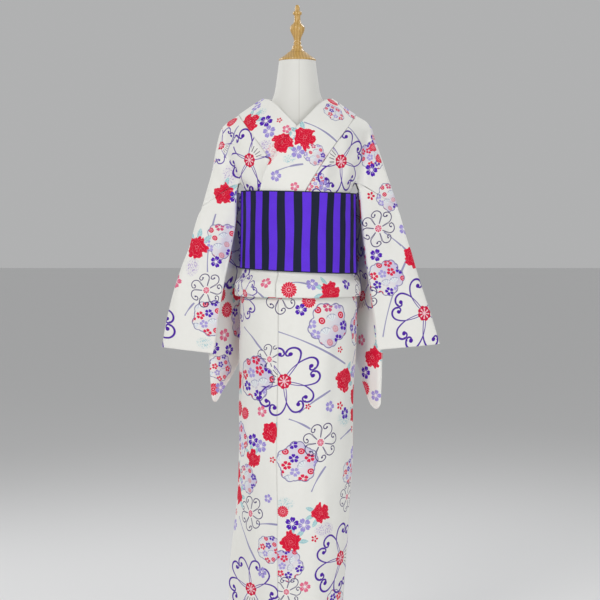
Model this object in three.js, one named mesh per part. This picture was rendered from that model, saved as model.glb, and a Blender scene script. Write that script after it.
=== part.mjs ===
// A woman's cotton kimono with a striped belt, worn by a limbless dress form on a stand.
// Millimetres, +Z up, front towards -Y, the wearer's left towards +X. The foot rests at Z = 0.
import * as THREE from 'three';

// Driving dimensions
const cloth = { wall: 1.6, seam: 0.3, collarWall: 2.6 };
const heights = {
  hem: 60, skirtTop: 1000, foldFoot: 922, foldTurnTop: 956, beltTop: 1161, armpit: 1178, seamLow: 1122,
};
// Where the body, the sleeve's fold and the collar meet, and the height of the neck's seam behind
const shoulder = { x: 131, z: 1325, neckZ: 1301 };
const overlap = 4.6; // the wearer's left side lies this much outside the right one in front
const spiral = 3.6; // growth of the skirt's wrap in one turn
const fold = { radius: 2.3, steps: 2 };
const blend = 2.6; // how sharply the round and the loose part of the upper body pass into each other
const belt = {
  centre: 2, inner: 126.2, shallower: 2.5, wall: 2, growth: 3.4,
  from: 164, to: 572, low: 977, lowTilt: 6, high: 1153, highTilt: 3,
};
const foot = { radius: 165, height: 18, rim: 4, slope: 12, segments: 40 };
const pole = { radius: 15, segments: 20 };
const form = { bottom: 815, neckTop: 1446, segments: 36 };
const cap = { radius: 41.5, top: 1465, segments: 32 };
const joint = 0.3; // gap between the stand's pieces

// Outline of the cloth over the shoulder and down the sleeve's fold, seen from the front
const ridgeRight = [
  { z: 1361, x: 77 }, { z: 1352, x: 93 }, { z: 1325, x: 131 }, { z: 1309, x: 160 }, { z: 1299, x: 171 },
  { z: 1281, x: 178 }, { z: 1249, x: 185 }, { z: 1213, x: 191 }, { z: 1160, x: 203 }, { z: 1122, x: 213 },
  { z: 1087, x: 225 }, { z: 1015, x: 246 }, { z: 943, x: 270 }, { z: 871, x: 293 }, { z: 805, x: 305 },
];
const ridgeLeft = [
  { z: 1361, x: 77 }, { z: 1352, x: 93 }, { z: 1325, x: 131 }, { z: 1309, x: 160 }, { z: 1296, x: 170 },
  { z: 1275, x: 176 }, { z: 1249, x: 185 }, { z: 1213, x: 197 }, { z: 1160, x: 213 }, { z: 1122, x: 225 },
  { z: 1087, x: 235 }, { z: 1015, x: 256 }, { z: 943, x: 279 }, { z: 871, x: 303 }, { z: 805, x: 323 },
];
// Sections of the upper body: half width and depths of the round part, depth of the loose part beside it
const bodice = [
  { z: 900, centre: 3, width: 136, front: 129.5, back: 130, loose: 0, power: 0.5 },
  { z: 935, centre: 3, width: 139, front: 131, back: 131.5, loose: 0, power: 0.5 },
  { z: 950, centre: 2.5, width: 138, front: 129.5, back: 130.5, loose: 0, power: 0.5 },
  { z: 962, centre: 2, width: 127, front: 122, back: 123, loose: 0, power: 0.5 },
  { z: 970, centre: 2, width: 122, front: 118.4, back: 118.6, loose: 0, power: 0.5 },
  { z: 985, centre: 2, width: 121, front: 118, back: 118, loose: 0, power: 0.5 },
  { z: 1110, centre: 2, width: 121, front: 118, back: 118, loose: 0, power: 0.5 },
  { z: 1161, centre: 2, width: 121, front: 118, back: 118, loose: 46, power: 0.5 },
  { z: 1205, centre: 1, width: 145, front: 117, back: 118, loose: 48, power: 0.75 },
  { z: 1250, centre: 0, width: 160, front: 110, back: 116, loose: 44, power: 0.8 },
  { z: 1290, centre: 0, width: 161, front: 99, back: 110, loose: 36, power: 0.8 },
  { z: 1325, centre: 0, width: 125, front: 80, back: 102, loose: 26, power: 0.7 },
  { z: 1344, centre: 0, width: 96, front: 68, back: 98, loose: 20, power: 0.6 },
  { z: 1361, centre: 0, width: 72, front: 54, back: 96, loose: 14, power: 0.5 },
];
// The collar: where it is sewn to the body and where its free edge runs, in front
const collarLeft = [
  { seamX: 131, seamZ: 1325, edgeX: 77, edgeZ: 1361 },
  { seamX: 121, seamZ: 1308, edgeX: 62, edgeZ: 1356 },
  { seamX: 106, seamZ: 1287, edgeX: 46, edgeZ: 1344 },
  { seamX: 88, seamZ: 1262, edgeX: 24, edgeZ: 1320 },
  { seamX: 69, seamZ: 1235, edgeX: -4, edgeZ: 1290 },
  { seamX: 49, seamZ: 1204, edgeX: -30, edgeZ: 1262 },
  { seamX: 29, seamZ: 1172, edgeX: -50, edgeZ: 1232 },
  { seamX: 11, seamZ: 1140, edgeX: -66, edgeZ: 1207 },
  { seamX: -5, seamZ: 1105, edgeX: -80, edgeZ: 1160 },
  { seamX: -18, seamZ: 1065, edgeX: -90, edgeZ: 1110 },
];
// and behind, where the band stands off the neck
const collarBack = [
  { seamX: 131, seamZ: 1325.3, edgeX: 77, edgeY: 0, edgeZ: 1361 },
  { seamX: 116, seamZ: 1322.7, edgeX: 74, edgeY: 38, edgeZ: 1364 },
  { seamX: 84, seamZ: 1316.9, edgeX: 60, edgeY: 74, edgeZ: 1366 },
  { seamX: 44, seamZ: 1309.6, edgeX: 33, edgeY: 99, edgeZ: 1366 },
  { seamX: 0, seamZ: 1301.5, edgeX: 0, edgeY: 107, edgeZ: 1366 },
];
// Sections of the skirt; flare is how far the outer front edge unrolls from the body
const skirt = [
  { z: 60, centre: -7, width: 102, depth: 92, flare: 0.98 },
  { z: 241, centre: -4.5, width: 110.5, depth: 99, flare: 0.92 },
  { z: 349, centre: -3.5, width: 117.5, depth: 105, flare: 0.58 },
  { z: 461, centre: -1.5, width: 122.5, depth: 111, flare: 0.28 },
  { z: 574, centre: -1, width: 128, depth: 117, flare: 0.06 },
  { z: 686, centre: 0, width: 127.5, depth: 119, flare: 0 },
  { z: 799, centre: 3, width: 131, depth: 122, flare: 0 },
  { z: 900, centre: 4, width: 132, depth: 124, flare: 0 },
  { z: 940, centre: 3, width: 127, depth: 121, flare: 0 },
  { z: 972, centre: 2, width: 119.5, depth: 116.5, flare: 0 },
  { z: 1000, centre: 2, width: 118.6, depth: 115.6, flare: 0 },
];
// Where the skirt's panels meet, as angles round the wrap from the inner free edge
const skirtPanels = [
  { name: 'right_okumi', from: 0, to: 75 },
  { name: 'right_front_skirt', from: 75, to: 180 },
  { name: 'right_back_skirt', from: 180, to: 275 },
  { name: 'left_back_skirt', from: 275, to: 370 },
  { name: 'left_front_skirt', from: 370, to: 475 },
  { name: 'left_okumi', from: 475, to: 556 },
];
const wrapStart = 95; // the inner free edge's place, in degrees from the front
const unrollFrom = 500;
// Seen from the front, a sleeve's outer panel ends at a soft fold.
// Its inner part comes out from behind that and hangs lower.
const sleeves = {
  right: {
    fold: [
      { z: 1178, x: 131 }, { z: 1164, x: 137 }, { z: 1091, x: 141 }, { z: 1015, x: 154 },
      { z: 940, x: 170 }, { z: 860, x: 183 }, { z: 790, x: 190 },
    ],
    cuff: { outer: 805, inner: 792 },
    foot: [
      { d: -9, z: 795 }, { d: -4, z: 692 }, { d: 3, z: 680 }, { d: 18, z: 706 },
      { d: 42, z: 744 }, { d: 58, z: 768 }, { d: 74, z: 800 },
    ],
  },
  left: {
    fold: [
      { z: 1178, x: 131 }, { z: 1164, x: 140 }, { z: 1091, x: 146 }, { z: 1015, x: 156 },
      { z: 940, x: 166 }, { z: 860, x: 176 }, { z: 790, x: 183 },
    ],
    cuff: { outer: 812, inner: 800 },
    foot: [
      { d: -9, z: 800 }, { d: -6, z: 678 }, { d: 4, z: 664 }, { d: 16, z: 672 },
      { d: 32, z: 706 }, { d: 48, z: 748 }, { d: 74, z: 805 },
    ],
  },
};
const bag = {
  panel: 19, tuck: 11, flap: 3, turn: 4, tuckDepth: 62, reach: 74, end: 33, seamGap: 1, armpitGap: 6.4,
};
// Distance from the middle that the sleeves keep to, beside the belt, the waist fold and the skirt
const besideBody = [
  { z: 660, r: 142 }, { z: 800, r: 146 }, { z: 900, r: 148 }, { z: 920, r: 156 },
  { z: 962, r: 156 }, { z: 985, r: 146 }, { z: 1178, r: 146 },
];

// Body of the form, in level ellipses
const formSections = [
  { z: 815, centre: 0, width: 108, depth: 98 }, { z: 985, centre: 2, width: 106, depth: 102 },
  { z: 1000, centre: 2, width: 107, depth: 104 }, { z: 1012, centre: 2, width: 117.6, depth: 114.6 },
  { z: 1022, centre: 2, width: 119.5, depth: 116.5 }, { z: 1066, centre: 2, width: 119.5, depth: 116.5 },
  { z: 1082, centre: 2, width: 116, depth: 113 }, { z: 1180, centre: 1, width: 117, depth: 106 },
  { z: 1215, centre: 0, width: 132, depth: 102 }, { z: 1250, centre: 0, width: 144, depth: 95 },
  { z: 1275, centre: 0, width: 149, depth: 87 }, { z: 1292, centre: 0, width: 145, depth: 80 },
  { z: 1305, centre: 0, width: 130, depth: 74 }, { z: 1320, centre: 0, width: 102, depth: 67 },
  { z: 1338, centre: 0, width: 74, depth: 59 }, { z: 1359, centre: 0, width: 57, depth: 53 },
  { z: 1378, centre: 0, width: 50.5, depth: 50 }, { z: 1400, centre: 0, width: 47, depth: 47 },
  { z: 1425, centre: 0, width: 43.5, depth: 44 }, { z: 1446, centre: 0, width: 41, depth: 42 },
];
// Turned finial: height above its foot and radius
const finialProfile = [
  { h: 0, r: 20 }, { h: 2, r: 17 }, { h: 8, r: 12.5 }, { h: 14, r: 11 }, { h: 16.5, r: 8.5 },
  { h: 19, r: 8.5 }, { h: 22, r: 8.8 }, { h: 24.5, r: 7.4 }, { h: 32, r: 8.6 }, { h: 42, r: 13.2 },
  { h: 50, r: 16.2 }, { h: 55, r: 16.6 }, { h: 60, r: 14 }, { h: 66, r: 8.6 }, { h: 74, r: 6.8 },
  { h: 82, r: 6.8 }, { h: 84, r: 9.6 }, { h: 87, r: 10.2 }, { h: 90, r: 9.6 }, { h: 92, r: 5.6 },
  { h: 98, r: 5.4 }, { h: 103, r: 4.4 }, { h: 105.5, r: 2.4 }, { h: 106, r: 0 },
];

const colours = { ivory: 0xeeecdf, purple: 0x5a35c8, white: 0xeeebe2, wood: 0xc9a45c, steel: 0xb9bcc0 };
const rad = Math.PI / 180;

// Plain helpers
const mix = (a, b, t) => a + (b - a) * t;
const smooth = (t) => {
  const c = Math.min(Math.max(t, 0), 1);
  return c * c * (3 - 2 * c);
};
const steps = (from, to, count) => Array.from({ length: count + 1 }, (_, i) => mix(from, to, i / count));

// Value of a named column at a place between a table's rows, on a smooth curve with no overshoot
function along(rows, by, at, name) {
  const up = rows[0][by] < rows[rows.length - 1][by];
  const list = up ? rows : [...rows].reverse();
  const x = list.map((row) => row[by]);
  const y = list.map((row) => row[name]);
  if (at <= x[0]) return y[0];
  const last = x.length - 1;
  if (at >= x[last]) return y[last];
  let i = 0;
  while (at > x[i + 1]) i += 1;
  const slope = (k) => (y[k + 1] - y[k]) / (x[k + 1] - x[k]);
  const tangent = (k) => {
    if (k === 0) return slope(0);
    if (k === last) return slope(last - 1);
    const a = slope(k - 1);
    const b = slope(k);
    return a * b <= 0 ? 0 : (2 * a * b) / (a + b);
  };
  const h = x[i + 1] - x[i];
  const t = (at - x[i]) / h;
  const t2 = t * t;
  const t3 = t2 * t;
  return (2 * t3 - 3 * t2 + 1) * y[i] + (t3 - 2 * t2 + t) * h * tangent(i)
    + (3 * t2 - 2 * t3) * y[i + 1] + (t3 - t2) * h * tangent(i + 1);
}

// A closed wall of the given thickness round a grid of points. Rows may close on themselves.
function clothWall(grid, thickness, ring = false) {
  const rows = grid.length;
  const cols = grid[0].length;
  const points = [];
  const at = (i, j) => grid[i][(j + cols) % cols];
  for (let i = 0; i < rows; i += 1) {
    for (let j = 0; j < cols; j += 1) {
      const next = ring || j < cols - 1 ? at(i, j + 1) : at(i, j);
      const before = ring || j > 0 ? at(i, j - 1) : at(i, j);
      const across = next.clone().sub(before).normalize();
      const up = grid[Math.min(i + 1, rows - 1)][j].clone().sub(grid[Math.max(i - 1, 0)][j]).normalize();
      const normal = across.cross(up).normalize().multiplyScalar(thickness / 2);
      points.push(grid[i][j].clone().add(normal), grid[i][j].clone().sub(normal));
    }
  }
  const index = [];
  const id = (i, j, side) => 2 * (i * cols + ((j + cols) % cols)) + side;
  const quad = (a, b, c, d) => index.push(a, b, c, a, c, d);
  const spans = ring ? cols : cols - 1;
  for (let i = 0; i < rows - 1; i += 1) {
    for (let j = 0; j < spans; j += 1) {
      quad(id(i, j, 0), id(i, j + 1, 0), id(i + 1, j + 1, 0), id(i + 1, j, 0));
      quad(id(i, j, 1), id(i + 1, j, 1), id(i + 1, j + 1, 1), id(i, j + 1, 1));
    }
    if (!ring) {
      quad(id(i, 0, 0), id(i + 1, 0, 0), id(i + 1, 0, 1), id(i, 0, 1));
      quad(id(i, cols - 1, 0), id(i, cols - 1, 1), id(i + 1, cols - 1, 1), id(i + 1, cols - 1, 0));
    }
  }
  for (let j = 0; j < spans; j += 1) {
    quad(id(0, j, 0), id(0, j, 1), id(0, j + 1, 1), id(0, j + 1, 0));
    quad(id(rows - 1, j, 0), id(rows - 1, j + 1, 0), id(rows - 1, j + 1, 1), id(rows - 1, j, 1));
  }
  return solidFrom(points, index);
}

// A geometry from points and triangles, turned so that its faces point out
function solidFrom(points, index) {
  let volume = 0;
  for (let k = 0; k < index.length; k += 3) {
    const [a, b, c] = [points[index[k]], points[index[k + 1]], points[index[k + 2]]];
    volume += a.dot(b.clone().cross(c));
  }
  if (volume < 0) index.reverse();
  const geometry = new THREE.BufferGeometry();
  const numbers = points.flatMap((p) => [p.x, p.y, p.z]);
  geometry.setAttribute('position', new THREE.Float32BufferAttribute(numbers, 3));
  geometry.setIndex(index);
  geometry.computeVertexNormals();
  return geometry;
}

// A closed body of level ellipses, with flat ends
function ellipseLoft(sections, count) {
  const points = [];
  const index = [];
  sections.forEach((s) => {
    for (let j = 0; j < count; j += 1) {
      const a = (2 * Math.PI * j) / count;
      points.push(new THREE.Vector3(s.centre + s.width * Math.sin(a), -s.depth * Math.cos(a), s.z));
    }
  });
  const last = sections.length - 1;
  const low = points.push(new THREE.Vector3(0, 0, sections[0].z)) - 1;
  const high = points.push(new THREE.Vector3(0, 0, sections[last].z)) - 1;
  for (let j = 0; j < count; j += 1) {
    const k = (j + 1) % count;
    for (let i = 0; i < last; i += 1) {
      const [a, b, c, d] = [i * count + j, i * count + k, (i + 1) * count + k, (i + 1) * count + j];
      index.push(a, b, c, a, c, d);
    }
    index.push(low, k, j, high, last * count + j, last * count + k);
  }
  return solidFrom(points, index);
}

// Distance of the upper cloth from the plane of the shoulders, at a place seen from the front
function bodyDepth(side, x, z, behind) {
  const ridge = side > 0 ? ridgeLeft : ridgeRight;
  const edge = along(ridge, 'z', z, 'x');
  const width = along(bodice, 'z', z, 'width');
  const off = Math.abs(x - along(bodice, 'z', z, 'centre'));
  const full = along(bodice, 'z', z, behind ? 'back' : 'front');
  const power = along(bodice, 'z', z, 'power');
  const round = off < width ? full * (1 - (off / width) ** 2) ** power : 0;
  const fade = Math.sqrt(Math.max(0, 1 - Math.abs(x) / edge)) * smooth(Math.abs(x) / 110);
  const loose = along(bodice, 'z', z, 'loose') * fade;
  return (round ** blend + loose ** blend) ** (1 / blend);
}

// How far a layer lies outside the innermost one in front
const layerOut = (side, x) => (side > 0 ? overlap * smooth((128 - x) / 44) : 0);

// A point of the chest cloth
function chestPoint(side, x, z) {
  return new THREE.Vector3(x, -bodyDepth(Math.sign(x) || side, x, z, false) - layerOut(side, x), z);
}

// Where the collar is sewn on in front, as x at a height
function seamX(side, z) {
  const left = along(collarLeft, 'seamZ', z, 'seamX');
  return side > 0 ? left : -left + (z < 1222 ? 5 * smooth((1222 - z) / 60) : 0);
}

// Angle round the waist at which a front or back column runs, from the front towards its own side
function waistAngle(side, u, z, behind) {
  const low = smooth((1060 - z) / 60);
  const outer = mix(70, 89.7, smooth((1150 - z) / 60));
  if (behind) return 180 - mix(0.1, outer, u);
  const ring = along(bodice, 'z', z, 'width');
  const middle = Math.asin((side * (seamX(side, Math.max(z, 1065)) - 2)) / ring) / rad;
  return mix(mix(middle, -20, side > 0 ? low : 0), outer, u);
}

function ringPoint(side, angle, z, inset, behind) {
  const width = along(bodice, 'z', z, 'width') - inset;
  const depth = along(bodice, 'z', z, behind ? 'back' : 'front') - inset;
  const x = along(bodice, 'z', z, 'centre') + side * width * Math.sin(angle * rad);
  const out = behind ? 0 : layerOut(side, x);
  const y = -depth * Math.cos(angle * rad);
  return new THREE.Vector3(x + (out * (x - 2)) / width, y * (1 + out / depth), z);
}

// Heights and insets of the waist fold, from its turned-up inner edge to the belt
function foldRows() {
  const inner = [heights.foldTurnTop, heights.foldFoot + 6];
  const rows = inner.map((z) => ({ z, inset: 2 * fold.radius }));
  steps(0, 180, fold.steps).forEach((a) => rows.push({
    z: heights.foldFoot + fold.radius * (1 - Math.sin(a * rad)),
    inset: fold.radius * (1 + Math.cos(a * rad)),
  }));
  return rows.concat([934, 946, 956, 963, 971, 992].map((z) => ({ z, inset: 0 })));
}

// The rows of a strip's upper stretch, from the armpit up to the shoulder
const chestRows = [1, 0.86, 0.7, 0.55, 0.4, 0.28, 0.17, 0.08, 0.02];

// A place of the upper stretch seen from the front:
// u from the neck or the middle to the sleeve, v down from the shoulder
function stripPlace(side, u, v, behind) {
  const ridge = side > 0 ? ridgeLeft : ridgeRight;
  const ridgeZ = mix(shoulder.z, heights.seamLow, 0.35 * smooth(u * 1.6) * u + 0.65 * u ** 3);
  const lowZ = mix(heights.beltTop, heights.armpit, u ** 3);
  const middle = along(bodice, 'z', heights.beltTop, 'centre');
  const turn = waistAngle(side, u, heights.beltTop, behind) * rad;
  const neckLow = along(bodice, 'z', heights.beltTop, 'width') * Math.sin(turn) + side * middle;
  const lowX = mix(neckLow, shoulder.x, u ** 4);
  const pull = (1 - u) ** 2;
  let x = mix(along(ridge, 'z', ridgeZ, 'x'), lowX, v);
  let z = mix(ridgeZ, lowZ, v);
  if (behind) {
    const neck = smooth(v / 0.4);
    const below = mix(shoulder.neckZ, lowZ, (v - 0.4) / 0.6);
    const down = v < 0.4 ? mix(shoulder.z, shoulder.neckZ, neck) : below;
    x += pull * (mix(shoulder.x, cloth.seam / 2, neck) - mix(shoulder.x, neckLow, v));
    z += pull * (down - mix(shoulder.z, lowZ, v));
  } else {
    x += pull * (side * seamX(side, z) - mix(shoulder.x, neckLow, v));
  }
  return { x: side * x, z };
}

function stripPoint(side, u, v, behind) {
  const at = stripPlace(side, u, v, behind);
  if (!behind) return chestPoint(side, at.x, at.z);
  return new THREE.Vector3(at.x, bodyDepth(side, at.x, at.z, true), at.z);
}

// One body strip's upper stretch: waist fold, belt, chest, over the shoulder and down behind
function bodiceStrip(side) {
  const columns = steps(0, 1, 10);
  const half = (behind) => {
    const under = behind || side > 0 ? foldRows() : [{ z: 992, inset: 0 }];
    const ring = under.concat([1030, 1075, 1120, 1156].map((z) => ({ z, inset: 0 })));
    const rows = ring.map((row) => columns.map((u) => (
      ringPoint(side, waistAngle(side, u, row.z, behind), row.z, row.inset, behind))));
    chestRows.forEach((v) => rows.push(columns.map((u) => stripPoint(side, u, v, behind))));
    return rows;
  };
  const ridge = columns.map((u) => stripPlace(side, u, 0, false));
  const top = ridge.map((at) => new THREE.Vector3(at.x, 0, at.z));
  return clothWall([...half(false), top, ...half(true).reverse()], cloth.wall);
}

// The stretch of the left okumi that shows in the waist fold
function okumiFold() {
  const angles = steps(-20.2, -89.2, 8);
  const rows = foldRows().concat([{ z: 1030, inset: 0 }]);
  const line = (row) => angles.map((a) => ringPoint(1, a, row.z, row.inset, false));
  return clothWall(rows.map(line), cloth.wall);
}

// The collar, from the right front edge round the neck to the left one
function collarBand() {
  const across = steps(1.2 / 90, 1, 4);
  const front = (side, place) => {
    const row = (name) => along(collarLeft.map((r, i) => ({ ...r, i })), 'i', place, name);
    const [seam, edge] = [seamX(side, row('seamZ')), side * row('edgeX')];
    return across.map((w) => chestPoint(side, mix(seam, edge, w), mix(row('seamZ'), row('edgeZ'), w)));
  };
  const back = (side, place) => {
    const row = (name) => along(collarBack.map((r, i) => ({ ...r, i })), 'i', place, name);
    const seamY = bodyDepth(side, side * row('seamX'), row('seamZ'), true);
    return across.map((w) => new THREE.Vector3(
      side * mix(row('seamX'), row('edgeX'), w),
      mix(seamY, row('edgeY'), w) + 5 * Math.sin(Math.PI * w) * smooth(place),
      mix(row('seamZ'), row('edgeZ'), w),
    ));
  };
  const fronts = steps(collarLeft.length - 1, 0.6, 14);
  const backs = steps(0.5, 4, 8);
  const rows = [
    ...fronts.map((i) => front(-1, i)), front(-1, 0),
    ...backs.map((i) => back(-1, i)), ...backs.slice(0, -1).reverse().map((i) => back(1, i)),
    front(1, 0), ...fronts.reverse().map((i) => front(1, i)),
  ];
  return clothWall(rows, cloth.collarWall);
}

// A point of the skirt: its angle round the wrap, from the inner free edge, and its height
function wrapPoint(turn, z) {
  const value = (name) => along(skirt, 'z', z, name);
  const inset = (spiral * (skirtPanels[5].to - turn)) / 360;
  const place = (t) => {
    const a = (wrapStart - t) * rad;
    const x = value('centre') + (value('width') - inset) * Math.sin(a);
    return new THREE.Vector2(x, -(value('depth') - inset) * Math.cos(a));
  };
  const at = place(turn);
  if (turn > unrollFrom && value('flare') > 0) {
    const radius = (value('width') + value('depth')) / 2;
    const start = (wrapStart - unrollFrom + 180) * rad;
    const run = radius * (turn - unrollFrom) * rad;
    const arc = (bend) => new THREE.Vector2(
      (Math.sin(start) - Math.sin(start - bend * run)) / bend,
      (Math.cos(start - bend * run) - Math.cos(start)) / bend,
    );
    at.add(arc((1 - value('flare')) / radius)).sub(arc(1 / radius));
  }
  return new THREE.Vector3(at.x, at.y, z);
}

// One panel of the skirt, from the hem to the waist
function skirtPanel({ from, to }) {
  const gap = (cloth.seam / 2 / 120) / rad;
  const turns = steps(from + (from > 0 ? gap : 0), to - gap, Math.round((to - from) / 9));
  const rows = [heights.hem, 150, 241, 330, 420, 510, 600, 700, 800, 870, 915, 945, 972, heights.skirtTop];
  return clothWall(rows.map((z) => turns.map((turn) => wrapPoint(turn, z))), cloth.wall);
}

// A sleeve hangs as a flattened bag. From its outer fold each layer runs inwards, tucks back outwards
// and comes forward again as the inner part, and both layers meet at the lower seam.
function sleeveBag(side) {
  const form = side > 0 ? sleeves.left : sleeves.right;
  const ridge = side > 0 ? ridgeLeft : ridgeRight;
  const at = (rows, z, name) => along(rows, 'z', z, name);
  const columns = [];
  const outer = [0, ...[...chestRows].reverse()];
  outer.forEach((f) => columns.push({ leg: 'panel', f }));
  columns.push({ leg: 'turn', a: 60, top: 1163 }, { leg: 'turn', a: 120, top: 1154 });
  columns.push({ leg: 'tuck', f: 0.1, top: 1150 }, { leg: 'tuck', f: 0.9, top: 1142 });
  columns.push({ leg: 'back', a: 60, top: 1140 }, { leg: 'back', a: 120, top: 1138 });
  columns.push({ leg: 'flapIn', f: 0.2, top: 1136 });
  [-14, -9, -5, 2, 10, 24, 42, 58, bag.reach].forEach((d) => (
    columns.push({ leg: 'flap', d, top: mix(1160, 1150, smooth(d / bag.reach)) })));
  const rows = [0, 0.09, 0.18, 0.3, 0.43, 0.57, 0.71, 0.86, 1];
  const point = (c, v, sign) => {
    const drop = (top, foot) => mix(top, foot, v);
    if (c.leg === 'panel') {
      const seam = stripPoint(side, 1, c.f, sign > 0);
      const gap = mix(bag.seamGap, bag.armpitGap, smooth((c.f - 0.4) / 0.6));
      const z = drop(seam.z - gap, mix(form.cuff.outer, form.cuff.inner, c.f));
      const x = mix(at(ridge, z, 'x'), at(form.fold, z, 'x'), c.f);
      const low = bag.panel * Math.sqrt(1 - (1 - c.f) ** 2);
      const y = mix(Math.abs(seam.y), low, smooth(v / 0.5));
      return new THREE.Vector3(v === 0 ? seam.x : side * x, sign * y, z);
    }
    const open = smooth(v / 0.5);
    const foot = c.d === undefined ? form.cuff.outer + 3 : along(form.foot, 'd', c.d, 'z');
    const z = drop(c.top, foot);
    const foldX = at(form.fold, z, 'x');
    const armpit = Math.abs(stripPoint(side, 1, 1, sign > 0).y);
    const panel = mix(armpit, bag.panel, Math.max(open, smooth((heights.armpit - z) / 190)));
    const inX = Math.min(foldX + bag.tuckDepth, mix(foldX, at(ridge, z, 'x'), 0.62));
    const close = 1 - 0.7 * smooth((v - 0.86) / 0.14) * (c.d === undefined ? 0 : 1);
    if (c.leg === 'turn') {
      const a = c.a * rad;
      return new THREE.Vector3(side * (foldX - bag.turn * Math.sin(a)),
        sign * mix(bag.tuck, panel, (1 + Math.cos(a)) / 2), z);
    }
    if (c.leg === 'tuck') return new THREE.Vector3(side * mix(foldX, inX, c.f), sign * bag.tuck, z);
    if (c.leg === 'back') {
      const a = c.a * rad;
      return new THREE.Vector3(side * (inX + bag.turn * Math.sin(a)),
        sign * mix(bag.flap, bag.tuck, (1 + Math.cos(a)) / 2), z);
    }
    if (c.leg === 'flapIn') return new THREE.Vector3(side * mix(inX, foldX + 14, c.f), sign * bag.flap, z);
    if (c.d <= 0) return new THREE.Vector3(side * (foldX - c.d), sign * bag.flap * close, z);
    const t = c.d / bag.reach;
    const r = at(besideBody, z, 'r') + (side > 0 ? 3 : 0);
    const p0 = new THREE.Vector2(foldX, 0);
    const p1 = new THREE.Vector2(r + 2, 24);
    const p2 = new THREE.Vector2(r * Math.cos(bag.end * rad), r * Math.sin(bag.end * rad));
    const on = p0.clone().multiplyScalar((1 - t) ** 2)
      .addScaledVector(p1, 2 * t * (1 - t)).addScaledVector(p2, t * t);
    const way = p1.clone().sub(p0).multiplyScalar(1 - t)
      .addScaledVector(p2.clone().sub(p1), t).normalize();
    const half = sign * bag.flap * close * (c.d === bag.reach ? 0.5 : 1);
    return new THREE.Vector3(side * (on.x + way.y * half), on.y - way.x * half, z);
  };
  const loop = (v) => [
    ...columns.map((c) => point(c, v, -1)), ...columns.slice(1).reverse().map((c) => point(c, v, 1)),
  ];
  return clothWall(rows.map(loop), cloth.wall, true);
}

// The belt, wound once round and tucked in behind
function beltBand() {
  const angles = steps(belt.from, belt.to, 54);
  const rows = [0, 1].map((t) => angles.map((deg) => {
    const a = deg * rad;
    const r = belt.inner + belt.wall / 2 + (belt.growth * (deg - belt.from)) / 360;
    const low = belt.low - belt.lowTilt * Math.sin(a);
    const high = belt.high - belt.highTilt * Math.sin(a);
    const x = belt.centre + r * Math.sin(a);
    return new THREE.Vector3(x, -(r - belt.shallower) * Math.cos(a), mix(low, high, t));
  }));
  return clothWall(rows, belt.wall);
}

// Turned pieces, from a profile that starts and ends on the axis
function turned(profile, segments) {
  const geometry = new THREE.LatheGeometry(profile.map(([r, z]) => new THREE.Vector2(r, z)), segments);
  geometry.rotateX(Math.PI / 2);
  return geometry;
}

const material = (colour, roughness, metalness = 0) => new THREE.MeshStandardMaterial({
  color: colour, roughness, metalness, side: THREE.DoubleSide,
});
const looks = {
  cotton: material(colours.ivory, 0.9),
  belt: material(colours.purple, 0.75),
  form: material(colours.white, 0.7),
  wood: material(colours.wood, 0.45),
  steel: material(colours.steel, 0.35, 0.9),
};

const kimono = new THREE.Group();
function add(name, geometry, look) {
  const mesh = new THREE.Mesh(geometry, look);
  mesh.name = name;
  kimono.add(mesh);
}

add('right_body_strip', bodiceStrip(-1), looks.cotton);
add('left_body_strip', bodiceStrip(1), looks.cotton);
add('left_okumi_fold', okumiFold(), looks.cotton);
skirtPanels.forEach((panel) => add(panel.name, skirtPanel(panel), looks.cotton));
add('collar', collarBand(), looks.cotton);
add('right_sleeve', sleeveBag(-1), looks.cotton);
add('left_sleeve', sleeveBag(1), looks.cotton);
add('belt', beltBand(), looks.belt);

const capFoot = form.neckTop + joint;
const capProfile = [
  [0, capFoot], [cap.radius - 1, capFoot], [cap.radius, capFoot + 1.5], [cap.radius, capFoot + 3.5],
  [cap.radius - 2, capFoot + 5], [30, capFoot + 12], [21, cap.top], [0, cap.top],
];
const finialFoot = cap.top + joint;
const finialPoints = [[0, finialFoot], ...finialProfile.map((p) => [p.r, finialFoot + p.h])];
const [poleFoot, poleTop] = [foot.height + joint, form.bottom - joint];
const poleProfile = [[0, poleFoot], [pole.radius, poleFoot], [pole.radius, poleTop], [0, poleTop]];
const footProfile = [
  [0, 0], [foot.radius, 0], [foot.radius, foot.height - foot.rim],
  [foot.radius - foot.rim, foot.height - 1], [foot.radius - foot.slope, foot.height], [0, foot.height],
];
add('form_body', ellipseLoft(formSections, form.segments), looks.form);
add('form_neck_cap', turned(capProfile, cap.segments), looks.wood);
add('form_finial', turned(finialPoints, 16), looks.wood);
add('form_pole', turned(poleProfile, pole.segments), looks.steel);
add('form_foot', turned(footProfile, foot.segments), looks.form);

export default kimono;
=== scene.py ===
import math
import bpy
import numpy as np
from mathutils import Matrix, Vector


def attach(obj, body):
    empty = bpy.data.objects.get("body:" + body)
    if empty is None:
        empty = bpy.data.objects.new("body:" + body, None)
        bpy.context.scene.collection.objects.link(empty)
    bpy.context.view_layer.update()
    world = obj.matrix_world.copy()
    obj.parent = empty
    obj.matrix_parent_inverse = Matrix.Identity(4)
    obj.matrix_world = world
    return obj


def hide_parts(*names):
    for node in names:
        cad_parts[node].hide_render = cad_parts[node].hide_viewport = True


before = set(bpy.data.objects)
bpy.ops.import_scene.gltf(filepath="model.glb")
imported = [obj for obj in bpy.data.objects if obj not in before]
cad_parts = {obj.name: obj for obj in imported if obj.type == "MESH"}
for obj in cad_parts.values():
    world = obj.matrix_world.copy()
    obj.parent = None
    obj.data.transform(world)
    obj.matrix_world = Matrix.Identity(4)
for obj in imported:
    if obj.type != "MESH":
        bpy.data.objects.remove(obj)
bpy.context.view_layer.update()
rng = np.random.default_rng(4745)
pi = math.pi


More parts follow.
